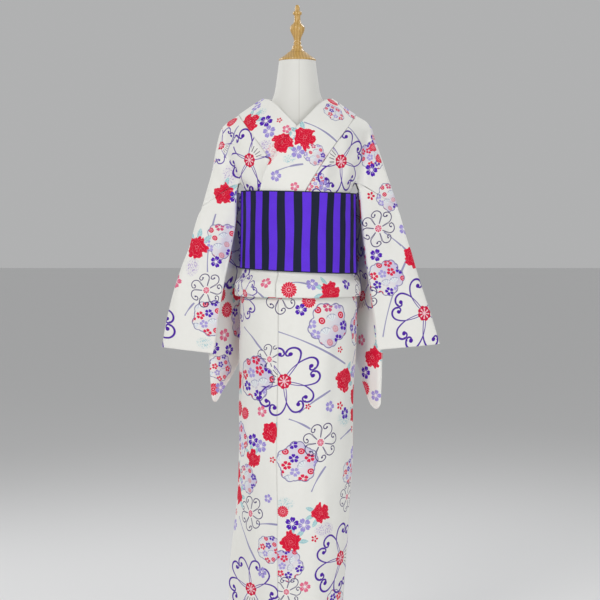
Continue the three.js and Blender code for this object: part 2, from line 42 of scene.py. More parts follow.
# Tables with named columns, and smooth curves through them (millimetres)
def table(names, *rows):
    return {name: np.array([row[i] for row in rows], float) for i, name in enumerate(names.split())}


def along(rows, by, at, name):
    # cubic Hermite; tangents are harmonic means of the neighbouring slopes, so it never overshoots
    x, y = rows[by], rows[name]
    if x[0] > x[-1]:
        x, y = x[::-1], y[::-1]
    at = np.clip(np.asarray(at, float), x[0], x[-1])
    i = np.clip(np.searchsorted(x, at, side="right") - 1, 0, len(x) - 2)
    h = np.diff(x)
    slope = np.diff(y) / h
    a, b = slope[:-1], slope[1:]
    inner = np.where(a * b > 0, 2 * a * b / np.where(a + b == 0, 1, a + b), 0)
    tangent = np.concatenate([slope[:1], inner, slope[-1:]])
    t = (at - x[i]) / h[i]
    return ((2 * t**3 - 3 * t**2 + 1) * y[i] + (t**3 - 2 * t**2 + t) * h[i] * tangent[i]
            + (3 * t**2 - 2 * t**3) * y[i + 1] + (t**3 - t**2) * h[i] * tangent[i + 1])


def rowAt(rows, by, at):
    return {name: along(rows, by, at, name) for name in rows}


def mix(a, b, t):
    return a + (b - a) * t


def smooth(t):
    c = np.clip(t, 0, 1)
    return c * c * (3 - 2 * c)


def stack(*parts):
    return np.stack(np.broadcast_arrays(*parts), -1)


# Outline over the shoulder and down the sleeve's fold, seen from the front
ridge = {
    -1: table(
        "z x", (1361, 77), (1352, 93), (1325, 131), (1309, 160), (1299, 171), (1281, 178), (1249, 185),
        (1213, 191), (1160, 203), (1122, 213), (1087, 225), (1015, 246), (943, 270), (871, 293),
        (805, 305)),
    1: table(
        "z x", (1361, 77), (1352, 93), (1325, 131), (1309, 160), (1296, 170), (1275, 176), (1249, 185),
        (1213, 197), (1160, 213), (1122, 225), (1087, 235), (1015, 256), (943, 279), (871, 303),
        (805, 323)),
}
# Sections of the upper body: half width and depths of the round part, depth of the loose part beside it
bodice = table(
    "z centre width front back loose power",
    (900, 3, 136, 129.5, 130, 0, 0.5), (935, 3, 139, 131, 131.5, 0, 0.5),
    (950, 2.5, 138, 129.5, 130.5, 0, 0.5), (962, 2, 127, 122, 123, 0, 0.5),
    (970, 2, 122, 118.4, 118.6, 0, 0.5), (985, 2, 121, 118, 118, 0, 0.5),
    (1110, 2, 121, 118, 118, 0, 0.5), (1161, 2, 121, 118, 118, 46, 0.5),
    (1205, 1, 145, 117, 118, 48, 0.75), (1250, 0, 160, 110, 116, 44, 0.8),
    (1290, 0, 161, 99, 110, 36, 0.8), (1325, 0, 125, 80, 102, 26, 0.7), (1344, 0, 96, 68, 98, 20, 0.6),
    (1361, 0, 72, 54, 96, 14, 0.5))
collarFront = table(
    "place seamX seamZ edgeX edgeZ",
    (0, 131, 1325, 77, 1361), (1, 121, 1308, 62, 1356), (2, 106, 1287, 46, 1344), (3, 88, 1262, 24, 1320),
    (4, 69, 1235, -4, 1290), (5, 49, 1204, -30, 1262), (6, 29, 1172, -50, 1232), (7, 11, 1140, -66, 1207),
    (8, -5, 1105, -80, 1160), (9, -18, 1065, -90, 1110))
collarBack = table(
    "place seamX seamZ edgeX edgeY edgeZ",
    (0, 131, 1325.3, 77, 0, 1361), (1, 116, 1322.7, 74, 38, 1364), (2, 84, 1316.9, 60, 74, 1366),
    (3, 44, 1309.6, 33, 99, 1366), (4, 0, 1301.5, 0, 107, 1366))
# Sections of the skirt; flare is how far the outer front edge unrolls from the body
skirt = table(
    "z centre width depth flare",
    (60, -7, 102, 92, 0.98), (241, -4.5, 110.5, 99, 0.92), (349, -3.5, 117.5, 105, 0.58),
    (461, -1.5, 122.5, 111, 0.28), (574, -1, 128, 117, 0.06), (686, 0, 127.5, 119, 0),
    (799, 3, 131, 122, 0), (900, 4, 132, 124, 0), (940, 3, 127, 121, 0), (972, 2, 119.5, 116.5, 0),
    (1000, 2, 118.6, 115.6, 0))
panels = {"right_okumi": (0, 75), "right_front_skirt": (75, 180), "right_back_skirt": (180, 275),
          "left_back_skirt": (275, 370), "left_front_skirt": (370, 475), "left_okumi": (475, 556)}
sleeves = {
    -1: {"fold": table("z x", (1178, 131), (1164, 137), (1091, 141), (1015, 154), (940, 170), (860, 183),
                       (790, 190)),
         "cuff": (805, 792),
         "foot": table("d z", (-9, 795), (-4, 692), (3, 680), (18, 706), (42, 744), (58, 768), (74, 800))},
    1: {"fold": table("z x", (1178, 131), (1164, 140), (1091, 146), (1015, 156), (940, 166), (860, 176),
                      (790, 183)),
        "cuff": (812, 800),
        "foot": table("d z", (-9, 800), (-6, 678), (4, 664), (16, 672), (32, 706), (48, 748), (74, 805))},
}
besideBody = table(
    "z r", (660, 142), (800, 146), (900, 148), (920, 156), (962, 156), (985, 146), (1178, 146))
formSections = table(
    "z centre width depth",
    (815, 0, 108, 98), (985, 2, 106, 102), (1000, 2, 107, 104), (1012, 2, 117.6, 114.6),
    (1022, 2, 119.5, 116.5), (1066, 2, 119.5, 116.5), (1082, 2, 116, 113), (1180, 1, 117, 106),
    (1215, 0, 132, 102), (1250, 0, 144, 95), (1275, 0, 149, 87), (1292, 0, 145, 80), (1305, 0, 130, 74),
    (1320, 0, 102, 67), (1338, 0, 74, 59), (1359, 0, 57, 53), (1378, 0, 50.5, 50), (1400, 0, 47, 47),
    (1425, 0, 43.5, 44), (1446, 0, 41, 42))

# Values that several pieces share, in millimetres; wrapStart, unrollFrom and wrapEnd are degrees
cut = {"wall": 1.3, "collarWall": 2.2, "collarOut": 0.6, "seam": 0.3, "overlap": 4.6, "spiral": 3.6,
       "foldRadius": 2.3, "wrapStart": 95, "unrollFrom": 500, "wrapEnd": 556}
heights = {"hem": 60, "skirtTop": 1000, "foldFoot": 922, "foldTurnTop": 956, "beltTop": 1161, "armpit": 1178,
           "seamLow": 1122}
shoulder = {"x": 131, "z": 1325, "neckZ": 1301}


# Shapes of the cloth, the same as the solids', as points of its middle surface
def bodyDepth(side, x, z, behind):
    # rounded and loose parts blend as (rounded^2.6 + loose^2.6)^(1 / 2.6)
    edge = along(ridge[side], "z", z, "x")
    row = rowAt(bodice, "z", z)
    inside = np.clip(1 - ((x - row["centre"]) / row["width"]) ** 2, 0, 1)
    rounded = row["back" if behind else "front"] * inside ** row["power"]
    fade = np.sqrt(np.clip(1 - np.abs(x) / edge, 0, 1)) * smooth(np.abs(x) / 110)
    loose = row["loose"] * fade
    return (rounded**2.6 + loose**2.6) ** (1 / 2.6)


def layerOut(side, x):
    return cut["overlap"] * smooth((128 - x) / 44) if side > 0 else 0 * x


def chestPoint(side, x, z):
    depth = np.where(x * side >= 0, bodyDepth(side, x, z, False), bodyDepth(-side, x, z, False))
    return stack(x, -depth - layerOut(side, x), z)


def seamX(side, z):
    left = along(collarFront, "seamZ", z, "seamX")
    return left if side > 0 else -left + np.where(z < 1222, 5 * smooth((1222 - z) / 60), 0)


def waistAngle(side, u, z, behind):
    low = smooth((1060 - z) / 60)
    outer = mix(70, 89.7, smooth((1150 - z) / 60))
    if behind:
        return 180 - mix(0.1, outer, u)
    ring = along(bodice, "z", z, "width")
    middle = np.degrees(np.arcsin(side * (seamX(side, np.maximum(z, 1065)) - 2) / ring))
    return mix(mix(middle, -20, low if side > 0 else 0), outer, u)


def ringPoint(side, angle, z, inset, behind):
    a = np.radians(angle)
    row = rowAt(bodice, "z", z)
    width, depth = row["width"] - inset, row["back" if behind else "front"] - inset
    x = row["centre"] + side * width * np.sin(a)
    out = 0 if behind else layerOut(side, x)
    return stack(x + out * (x - 2) / width, -depth * np.cos(a) * (1 + out / depth), z)


def foldRows():
    # (z, inset): up inside, round the bottom, up outside to the belt
    turn = np.radians(np.linspace(0, 180, 7))
    r = cut["foldRadius"]
    rows = [(z, 2 * r) for z in np.linspace(heights["foldTurnTop"], heights["foldFoot"] + 6, 6)]
    rows += [(heights["foldFoot"] + r * (1 - math.sin(a)), r * (1 + math.cos(a))) for a in turn]
    return rows + [(z, 0) for z in np.arange(heights["foldFoot"] + 5, 994, 3)]


def stripPlace(side, u, v, behind):
    top, neckZ, low = shoulder["z"], shoulder["neckZ"], heights["beltTop"]
    ridgeZ = mix(top, heights["seamLow"], 0.35 * smooth(u * 1.6) * u + 0.65 * u**3)
    lowZ = mix(low, heights["armpit"], u**3)
    turn = np.radians(waistAngle(side, u, low, behind))
    neckLow = along(bodice, "z", low, "width") * np.sin(turn) + side * along(bodice, "z", low, "centre")
    lowX = mix(neckLow, shoulder["x"], u**4)
    pull = (1 - u) ** 2
    x = mix(along(ridge[side], "z", ridgeZ, "x"), lowX, v)
    z = mix(ridgeZ, lowZ, v)
    if behind:
        neck = smooth(v / 0.4)
        down = np.where(v < 0.4, mix(top, neckZ, neck), mix(neckZ, lowZ, (v - 0.4) / 0.6))
        x = x + pull * (mix(shoulder["x"], cut["seam"] / 2, neck) - mix(shoulder["x"], neckLow, v))
        z = z + pull * (down - mix(top, lowZ, v))
    else:
        x = x + pull * (side * seamX(side, z) - mix(shoulder["x"], neckLow, v))
    return side * x, z


def stripPoint(side, u, v, behind):
    x, z = stripPlace(side, u, v, behind)
    if behind:
        return stack(x, bodyDepth(side, x, z, True), z)
    return chestPoint(side, x, z)


beltRings, chestSteps = np.arange(998, 1157, 5), np.linspace(0, 0.975, 58)


def bodiceGrid(side):
    u = np.linspace(0, 1, 72)

    def half(behind):
        under = foldRows() if behind or side > 0 else [(992, 0)]
        rings = under + [(z, 0) for z in beltRings]
        rows = [ringPoint(side, waistAngle(side, u, z, behind), z, inset, behind) for z, inset in rings]
        return rows + [stripPoint(side, u, 1 - v, behind) for v in chestSteps]

    x, z = stripPlace(side, u, 0, False)
    return np.array(half(False) + [stack(x, 0 * x, z)] + half(True)[::-1])


def okumiFoldGrid():
    angles = np.linspace(-20.2, -89.2, 40)
    rows = foldRows() + [(z, 0) for z in np.arange(997, 1031, 4)]
    return np.array([ringPoint(1, angles, z, inset, False) for z, inset in rows])


def collarGrid():
    w = np.linspace(1.2 / 90, 1, 26)  # from 1.2 mm beside the seam

    def front(side, place):
        row = rowAt(collarFront, "place", place)
        x = mix(seamX(side, row["seamZ"]) * np.ones(1), side * row["edgeX"], w)
        return chestPoint(side, x, mix(row["seamZ"], row["edgeZ"], w))

    def back(side, place):
        row = rowAt(collarBack, "place", place)
        seamY = bodyDepth(side, side * row["seamX"], row["seamZ"], True)
        y = mix(seamY, row["edgeY"], w) + 5 * np.sin(pi * w) * smooth(place)
        return stack(side * mix(row["seamX"], row["edgeX"], w), y, mix(row["seamZ"], row["edgeZ"], w))

    fronts, backs = np.linspace(9, 0, 76), np.linspace(0.25, 4, 30)
    rows = [front(-1, p) for p in fronts] + [back(-1, p) for p in backs]
    return np.array(rows + [back(1, p) for p in backs[-2::-1]] + [front(1, p) for p in fronts[::-1]])


def wrapPoint(turn, z):
    value = rowAt(skirt, "z", z)
    inset = cut["spiral"] * (cut["wrapEnd"] - turn) / 360
    a = np.radians(cut["wrapStart"] - turn)
    x = value["centre"] + (value["width"] - inset) * np.sin(a)
    y = -(value["depth"] - inset) * np.cos(a)
    radius = (value["width"] + value["depth"]) / 2
    start = math.radians(cut["wrapStart"] - cut["unrollFrom"] + 180)
    run = radius * np.radians(np.maximum(turn - cut["unrollFrom"], 0))

    def arc(bend):
        now = start - bend * run
        return (np.sin(start) - np.sin(now)) / bend, (np.cos(now) - np.cos(start)) / bend

    (openX, openY), (shutX, shutY) = arc((1 - value["flare"]) / radius), arc(1 / radius)
    return stack(x + openX - shutX, y + openY - shutY, z)


def skirtGrid(first, last):
    gap = math.degrees(cut["seam"] / 2 / 120)  # half a seam, on the skirt's mean radius
    turn = np.linspace(first + (gap if first > 0 else 0), last - gap, 58)[None, :]
    z = np.concatenate([np.arange(heights["hem"], 996, 4.2), [heights["skirtTop"]]])[:, None]
    return wrapPoint(turn + 0 * z, z + 0 * turn)


# Half depths of the sleeve's layers, how far it is tucked in, and the flap's reach; its end is in degrees
bag = {"panel": 19, "tuck": 11, "flap": 3, "turn": 4, "tuckDepth": 62, "reach": 74, "end": 33, "rows": 96}


def sleeveGrid(side):
    shape, top = sleeves[side], ridge[side]
    v = np.linspace(0, 1, bag["rows"])[:, None]
    opening = smooth(v / 0.5)
    corner = np.radians([30, 60, 90, 120, 150])

    def panel(f, sign):
        seam = stripPoint(side, np.ones(1), np.full(1, f), sign > 0)[0]
        gap = mix(0.5, 1.6, smooth((f - 0.4) / 0.6))  # wider towards the armpit
        z = mix(seam[2] - gap, mix(shape["cuff"][0], shape["cuff"][1], f), v)
        x = side * mix(along(top, "z", z, "x"), along(shape["fold"], "z", z, "x"), f)
        x = mix(seam[0], x, smooth(v / 0.06))
        low = bag["panel"] * math.sqrt(max(0, 1 - (1 - f) ** 2))
        return stack(x, sign * mix(abs(seam[1]), low, opening), z)

    def frameAt(z):
        fold = along(shape["fold"], "z", z, "x")
        armpit = abs(stripPoint(side, np.ones(1), np.ones(1), False)[0, 1])
        width = mix(armpit, bag["panel"], np.maximum(opening, smooth((heights["armpit"] - z) / 190)))
        return fold, width, np.minimum(fold + bag["tuckDepth"], mix(fold, along(top, "z", z, "x"), 0.62))

    def hidden(kind, k, high, sign):
        z = mix(high, shape["cuff"][0] + 3, v)
        fold, width, inX = frameAt(z)
        if kind == "turn":
            x, y = fold - bag["turn"] * math.sin(k), mix(bag["tuck"], width, (1 + math.cos(k)) / 2)
        elif kind == "tuck":
            x, y = mix(fold, inX, k), bag["tuck"]
        elif kind == "back":
            x, y = inX + bag["turn"] * math.sin(k), mix(bag["flap"], bag["tuck"], (1 + math.cos(k)) / 2)
        else:
            x, y = mix(inX, fold + 14, k), bag["flap"]
        return stack(side * x, sign * y, z)

    def flap(d, sign):
        z = mix(mix(1160, 1150, smooth(d / bag["reach"])), along(shape["foot"], "d", d, "z"), v)
        fold = along(shape["fold"], "z", z, "x")
        close = 1 - 0.7 * smooth((v - 0.86) / 0.14)
        if d <= 0:
            return stack(side * (fold - d), sign * bag["flap"] * close, z)
        # a quadratic curve from the fold round the body to its end
        t = d / bag["reach"]
        r = along(besideBody, "z", z, "r") + (3 if side > 0 else 0)
        end = math.radians(bag["end"])
        p1, p2 = (r + 2, 24), (r * math.cos(end), r * math.sin(end))
        x = fold * (1 - t) ** 2 + 2 * t * (1 - t) * p1[0] + t * t * p2[0]
        y = 2 * t * (1 - t) * p1[1] + t * t * p2[1]
        wayX = (p1[0] - fold) * (1 - t) + (p2[0] - p1[0]) * t
        wayY = p1[1] * (1 - t) + (p2[1] - p1[1]) * t
        size = np.hypot(wayX, wayY)
        half = sign * bag["flap"] * close * (1 - 0.5 * smooth((d - 68) / 6))
        return stack(side * (x + wayY / size * half), y - wayX / size * half, z)

    def layer(sign):
        f = np.concatenate([[0, 0.006, 0.014], np.linspace(0.025, 1, 42)])
        rows = [panel(k, sign) for k in f]
        rows += [hidden("turn", k, mix(1163, 1154, (k - 0.5) / 1.5), sign) for k in corner]
        rows += [hidden("tuck", k, mix(1150, 1142, k), sign) for k in np.linspace(0.04, 0.96, 12)]
        rows += [hidden("back", k, 1140, sign) for k in corner]
        rows += [hidden("flapIn", k, 1136, sign) for k in np.linspace(0.04, 0.96, 10)]
        across = np.concatenate([np.linspace(-13, 0, 6), np.linspace(2, bag["reach"], 26)])
        return rows + [flap(d, sign) for d in across]

    loop = layer(-1) + layer(1)[:0:-1]
    return np.stack(loop, 1).reshape(bag["rows"], len(loop), 3)


# The belt's radius grows from start to end, in degrees; both edges tilt, and its foot flares
belt = {"centre": 2, "middle": 127.2, "shallower": 2.5, "wall": 1.6, "growth": 3.4, "start": 164, "end": 572,
        "low": 977, "lowTilt": 6, "high": 1153, "highTilt": 3, "flare": 3, "stripe": 18.8, "purple": 9.6,
        "purpleAt": -17.2, "lean": 7.5, "waver": 0.8}


def beltGrid():
    turn = np.linspace(belt["start"], belt["end"], 240)[None, :]
    a = np.radians(turn)
    t = np.linspace(0, 1, 54)[:, None]
    z = mix(belt["low"] - belt["lowTilt"] * np.sin(a), belt["high"] - belt["highTilt"] * np.sin(a), t)
    r = belt["middle"] + belt["growth"] * (turn - belt["start"]) / 360 + belt["flare"] * (1 - t) ** 2
    return stack(belt["centre"] + r * np.sin(a), -(r - belt["shallower"]) * np.cos(a), z)


# Closed thin walls with the print's places on them. Zones keep creases and motifs on their own layer.
# The flap's number is also that of the waist fold behind; on a sleeve's back layer the two last are 4 and 5.
onFront, onBack, unseen, onFlap = 0, 1, 2, 3


def linked(name, data):
    thing = bpy.data.objects.new(name, data)
    bpy.context.scene.collection.objects.link(thing)
    return thing


def unit(v):
    return v / np.maximum(np.linalg.norm(v, axis=-1, keepdims=True), 1e-9)


def normals(grid, closed, here, towards):
    ahead, before = np.roll(grid, -1, 1), np.roll(grid, 1, 1)
    if not closed:
        ahead[:, -1], before[:, 0] = grid[:, -1], grid[:, 0]
    up = grid[np.r_[1:len(grid), len(grid) - 1]] - grid[np.r_[0, 0:len(grid) - 1]]
    out = unit(np.cross(ahead - before, up))
    return out if out[here] @ np.array(towards) > 0 else -out


def relief(points, lines):
    # a bell across each line and a soft start and end along it: height * exp(-(away/width)^2)
    x, z = points[..., 0], points[..., 2]
    total = np.zeros(x.shape)
    for x0, z0, x1, z1, width, height in lines:
        dx, dz = x1 - x0, z1 - z0
        size = math.hypot(dx, dz)
        t = ((x - x0) * dx + (z - z0) * dz) / size**2
        bow = 0.1 * size * np.sin(pi * np.clip(t, 0, 1)) * np.sign(height)
        away = ((z - z0) * dx - (x - x0) * dz) / size + bow
        ends = smooth((t + 0.12) / 0.4) * smooth((1.12 - t) / 0.4)
        total += height * np.exp(-((away / width) ** 2)) * ends
    return total


kinds = ("scroll", "roundel", "red", "small", "stream", "patch")
camera = np.array([5.6, -3500.0, 1069.0])
nowhere = (9.0, 9.0, 0.0)  # a place far outside every motif's disc
stamped = {"reach": 1.75, "facing": 0.15}  # in radii of the motif, and as a cosine


def stamp(mesh, grid, out, zones, cells, marks):
    # Each cell takes, of each kind, the motif nearest to it, and stores its corners' places in that motif
    rows, columns = cells
    corner = grid[rows, columns]
    centre = corner.mean(1)
    facing = unit(out[rows, columns].mean(1))
    zone = zones[rows[:, 0], columns[:, 0]]
    for kind in kinds:
        local = np.tile(nowhere, (len(rows), 4, 1))
        own = [m for m in marks if m["kind"] == kind]
        if own:
            seen = [(zone == m["zone"]) & (facing @ m["out"] > stamped["facing"]) for m in own]
            far = [np.linalg.norm(centre - m["at"], axis=1) / m["radius"] for m in own]
            score = np.where(seen, far, np.inf)
            best = score.argmin(0)
            near = score.min(0) < stamped["reach"]
            needed = ("at", "right", "up", "radius", "variant")
            pick = {k: np.array([m[k] for m in own])[best] for k in needed}
            away = corner - pick["at"][:, None]
            x = (away * pick["right"][:, None]).sum(-1)
            y = (away * pick["up"][:, None]).sum(-1)
            flat = np.maximum(np.hypot(x, y), 1e-6) * pick["radius"][:, None]
            stretch = np.linalg.norm(away, axis=-1) / flat
            placed = stack(x * stretch, y * stretch, pick["variant"][:, None])
            local[near] = placed[near]
        every = np.concatenate([local, local[:, ::-1], np.tile(nowhere, (mesh["rimCount"], 4, 1))])
        if mesh["flip"]:
            every = every[:, ::-1]
        data = mesh["object"].data.attributes.new(kind, "FLOAT_VECTOR", "CORNER")
        data.data.foreach_set("vector", every.astype(np.float32).ravel())


def shell(name, grid, out, wall, closed=False, zones=None, marks=None, measures={}):
    rows, columns = grid.shape[:2]
    points = np.concatenate([(grid + out * wall / 2).reshape(-1, 3), (grid - out * wall / 2).reshape(-1, 3)])
    spans = columns if closed else columns - 1
    i, j = (k.ravel() for k in np.meshgrid(np.arange(rows - 1), np.arange(spans), indexing="ij"))
    cornerRow = np.stack([i, i, i + 1, i + 1], 1)
    cornerColumn = np.stack([j, j + 1, j + 1, j], 1) % columns
    front = cornerRow * columns + cornerColumn
    under = rows * columns
    edges = [np.arange(spans), np.arange(spans) + (rows - 1) * columns]
    rims = [np.stack([e, (e // columns) * columns + (e % columns + 1) % columns], 1) for e in edges]
    if not closed:
        up = np.arange(rows - 1) * columns
        rims += [np.stack([up, up + columns], 1), np.stack([up, up + columns], 1) + columns - 1]
    turned = (True, False, False, True)
    rim = np.concatenate([np.stack([e[:, 1 - s], e[:, 0 + s], e[:, 0 + s] + under, e[:, 1 - s] + under], 1)
                          for e, s in zip(rims, turned)])
    faces = np.concatenate([front, front[:, ::-1] + under, rim])
    a, b, c, d = (points[faces[:, k]] for k in range(4))
    flip = (np.cross(b - a, c - a) * a).sum() + (np.cross(c - a, d - a) * a).sum() < 0
    if flip:
        faces = faces[:, ::-1]
    data = bpy.data.meshes.new(name)
    data.vertices.add(len(points))
    data.vertices.foreach_set("co", (points / 1000).astype(np.float32).ravel())
    data.loops.add(faces.size)
    data.loops.foreach_set("vertex_index", faces.astype(np.int32).ravel())
    data.polygons.add(len(faces))
    data.polygons.foreach_set("loop_start", np.arange(0, faces.size, 4, dtype=np.int32))
    data.update(calc_edges=True)
    data.polygons.foreach_set("use_smooth", np.ones(len(faces), bool))
    thing = linked(name, data)
    inside = data.attributes.new("inside", "FLOAT", "POINT")
    inside.data.foreach_set("value", np.repeat([0.0, 1.0], under).astype(np.float32))
    for measure, values in measures.items():
        kept = data.attributes.new(measure, "FLOAT", "POINT")
        kept.data.foreach_set("value", np.tile(values.ravel(), 2).astype(np.float32))
    if marks is not None:
        mesh = {"object": thing, "rimCount": len(rim), "flip": flip}
        stamp(mesh, grid, out, zones, (cornerRow, cornerColumn), marks)
    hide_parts(name)
    thing.name = name + "_cloth"
    return thing


def markAt(grid, out, where, kind, radius, turn, variant, zone, offX=0.0, offZ=0.0):
    # offX and offZ are what is left, seen from the front, from the nearest grid point to the mark
    n = out[where]
    up = unit(np.array([0, 0, 1.0]) - n * n[2] + 1e-6)
    right = unit(np.cross(up, n))
    rise = offZ / max(up[2], 0.4)
    run = (offX - rise * up[0]) / max(right[0], 0.4)
    a = math.radians(turn)
    if kind == "red":
        variant += 0.4 * rng.random()  # no two peonies alike
    if kind == "stream":
        variant = 2.0 / radius  # half the line's width
    return {"kind": kind, "at": grid[where] + right * run + up * rise, "out": n, "radius": radius,
            "variant": variant, "zone": zone,
            "right": right * math.cos(a) + up * math.sin(a), "up": up * math.cos(a) - right * math.sin(a)}


def place(grid, out, zones, kept):
    # kept: by kind, rows of x and z as seen from the front on the plane y = 0, radius, turn, variant, zone
    depth = (grid[..., 1] - camera[1]) / -camera[1]
    seenX = camera[0] + (grid[..., 0] - camera[0]) / depth
    seenZ = camera[2] + (grid[..., 2] - camera[2]) / depth
    marks = []
    for kind, row in ((kind, row) for kind, rows in kept.items() for row in rows):
        x, z, radius, turn, variant, zone = (*row, 0, 0, 0)[:6]
        away = np.hypot(seenX - x, seenZ - z) + np.where((out[..., 1] < -0.1) & (zones == zone), 0, 1e4)
        where = np.unravel_index(away.argmin(), away.shape)
        marks.append(markAt(grid, out, where, kind, radius * depth[where], turn, variant, zone,
                            (x - seenX[where]) * depth[where], (z - seenZ[where]) * depth[where]))
    return marks


scattered = (  # kind, radius, variants, tries, in the order in which they claim their place
    ("scroll", 80, (0,), 24), ("roundel", 46, (0.1, 0.4, 0.7), 40), ("scroll", 38, (1,), 40),
    ("red", 26, (0,), 60), ("stream", 50, (0, 0.5), 50), ("red", 19, (1,), 40),
    ("small", 16, (0, 1, 2), 120), ("small", 12, (3,), 60))


def scatter(grid, out, zones, marks, keep):
    # the rest of the print, at random places that keep their distance from what is there
    rows, columns = grid.shape[:2]
    marks = list(marks)
    for kind, radius, variants, tries in scattered:
        for _ in range(tries):
            where = (rng.integers(rows), rng.integers(columns))
            size = radius * rng.uniform(0.9, 1.08)
            variant = variants[rng.integers(len(variants))]
            if not keep[where]:
                continue
            zone = zones[where]
            clear = all(np.linalg.norm(grid[where] - m["at"]) > 0.86 * (size + m["radius"])
                        for m in marks if m["zone"] == zone)
            if clear:
                marks.append(markAt(grid, out, where, kind, size, rng.uniform(0, 360), variant, zone))
    return marks


# Shader maths: a socket that adds, multiplies and compares like a number
class Value:
    def __init__(self, board, socket):
        self.board, self.socket = board, socket

    def math(self, kind, *others, clamp=False):
        return self.board.math(kind, self, *others, clamp=clamp)

    def __rsub__(self, other):
        return self.board.math("SUBTRACT", other, self)

    def below(self, limit, soft=0.015):
        return self.board.math("MULTIPLY_ADD", limit - self, 1 / soft, 0.5, clamp=True)

    def above(self, limit, soft=0.015):
        return self.board.math("MULTIPLY_ADD", self - limit, 1 / soft, 0.5, clamp=True)

    def either(self, *others):
        made = self
        for other in others:
            made = made.math("MAXIMUM", other)
        return made


for word, kind in (("add", "ADD"), ("radd", "ADD"), ("sub", "SUBTRACT"), ("mul", "MULTIPLY"),
                   ("rmul", "MULTIPLY"), ("truediv", "DIVIDE"), ("pow", "POWER"), ("abs", "ABSOLUTE")):
    setattr(Value, f"__{word}__", lambda self, *others, kind=kind: self.math(kind, *others))


class Board:
    def __init__(self, name):
        self.material = bpy.data.materials.new(name)
        self.material.use_nodes = True
        self.tree = self.material.node_tree
        self.tree.nodes.clear()

    def node(self, kind, settings={}, inputs={}):
        made = self.tree.nodes.new("ShaderNode" + kind)
        for key, value in settings.items():
            setattr(made, key, value)
        for key, value in inputs.items():
            if isinstance(value, Value):
                self.tree.links.new(value.socket, made.inputs[key])
            else:
                made.inputs[key].default_value = value
        return made

    def math(self, kind, *terms, clamp=False):
        made = self.node("Math", {"operation": kind, "use_clamp": clamp}, dict(enumerate(terms)))
        return Value(self, made.outputs[0])

    def mix(self, factor, a, b):
        colours = {k: v if isinstance(v, Value) else (*v, 1) for k, v in ((6, a), (7, b))}
        made = self.node("Mix", {"data_type": "RGBA"}, {0: factor, **colours})
        return Value(self, made.outputs[2])

    def layers(self, colour, *steps):
        # each step's mask and colour go over what is there
        for mask, tint in steps:
            colour = self.mix(mask, colour, tint)
        return colour

    def attribute(self, name, output="Fac"):
        return Value(self, self.node("Attribute", {"attribute_name": name}).outputs[output])

    def motif(self, name):
        parts = self.node("SeparateXYZ", {}, {0: self.attribute(name, "Vector")})
        return [Value(self, s) for s in parts.outputs]

    def position(self):
        # millimetres
        coords = Value(self, self.node("TexCoord").outputs["Object"])
        scaled = self.node("VectorMath", {"operation": "SCALE"}, {0: coords, "Scale": 1000.0})
        return Value(self, scaled.outputs[0])

    def noise(self, size, detail=2.0, at=None):
        inputs = {"Vector": at or self.position(), "Scale": 1 / size, "Detail": detail}
        return Value(self, self.node("TexNoise", {}, inputs).outputs[0])

    def surface(self, colour, roughness, bump=None, strength=0.3, distance=0.0004, **more):
        inputs = {k.replace("_", " "): v for k, v in more.items()}
        inputs["Base Color"] = colour if isinstance(colour, Value) else (*colour, 1)
        inputs["Roughness"] = roughness
        if bump is not None:
            made = self.node("Bump", {}, {"Height": bump, "Strength": strength, "Distance": distance})
            inputs["Normal"] = Value(self, made.outputs[0])
        shader = self.node("BsdfPrincipled", {}, inputs)
        output = self.node("OutputMaterial")
        self.tree.links.new(shader.outputs[0], output.inputs[0])
        return self.material


# Motifs of the print. Each lies in a disc of radius 1; x, y are places in it and v says which kind it is.
def polar(board, x, y):
    return (x * x + y * y) ** 0.5, board.math("ARCTAN2", y, x)


def sector(board, r, a, count, turn=0.0):
    # the same place folded into half of one of count equal sectors: along its middle, and away from it
    h = board.math("PINGPONG", a + turn, pi / count)
    return r * h.math("COSINE"), r * h.math("SINE")


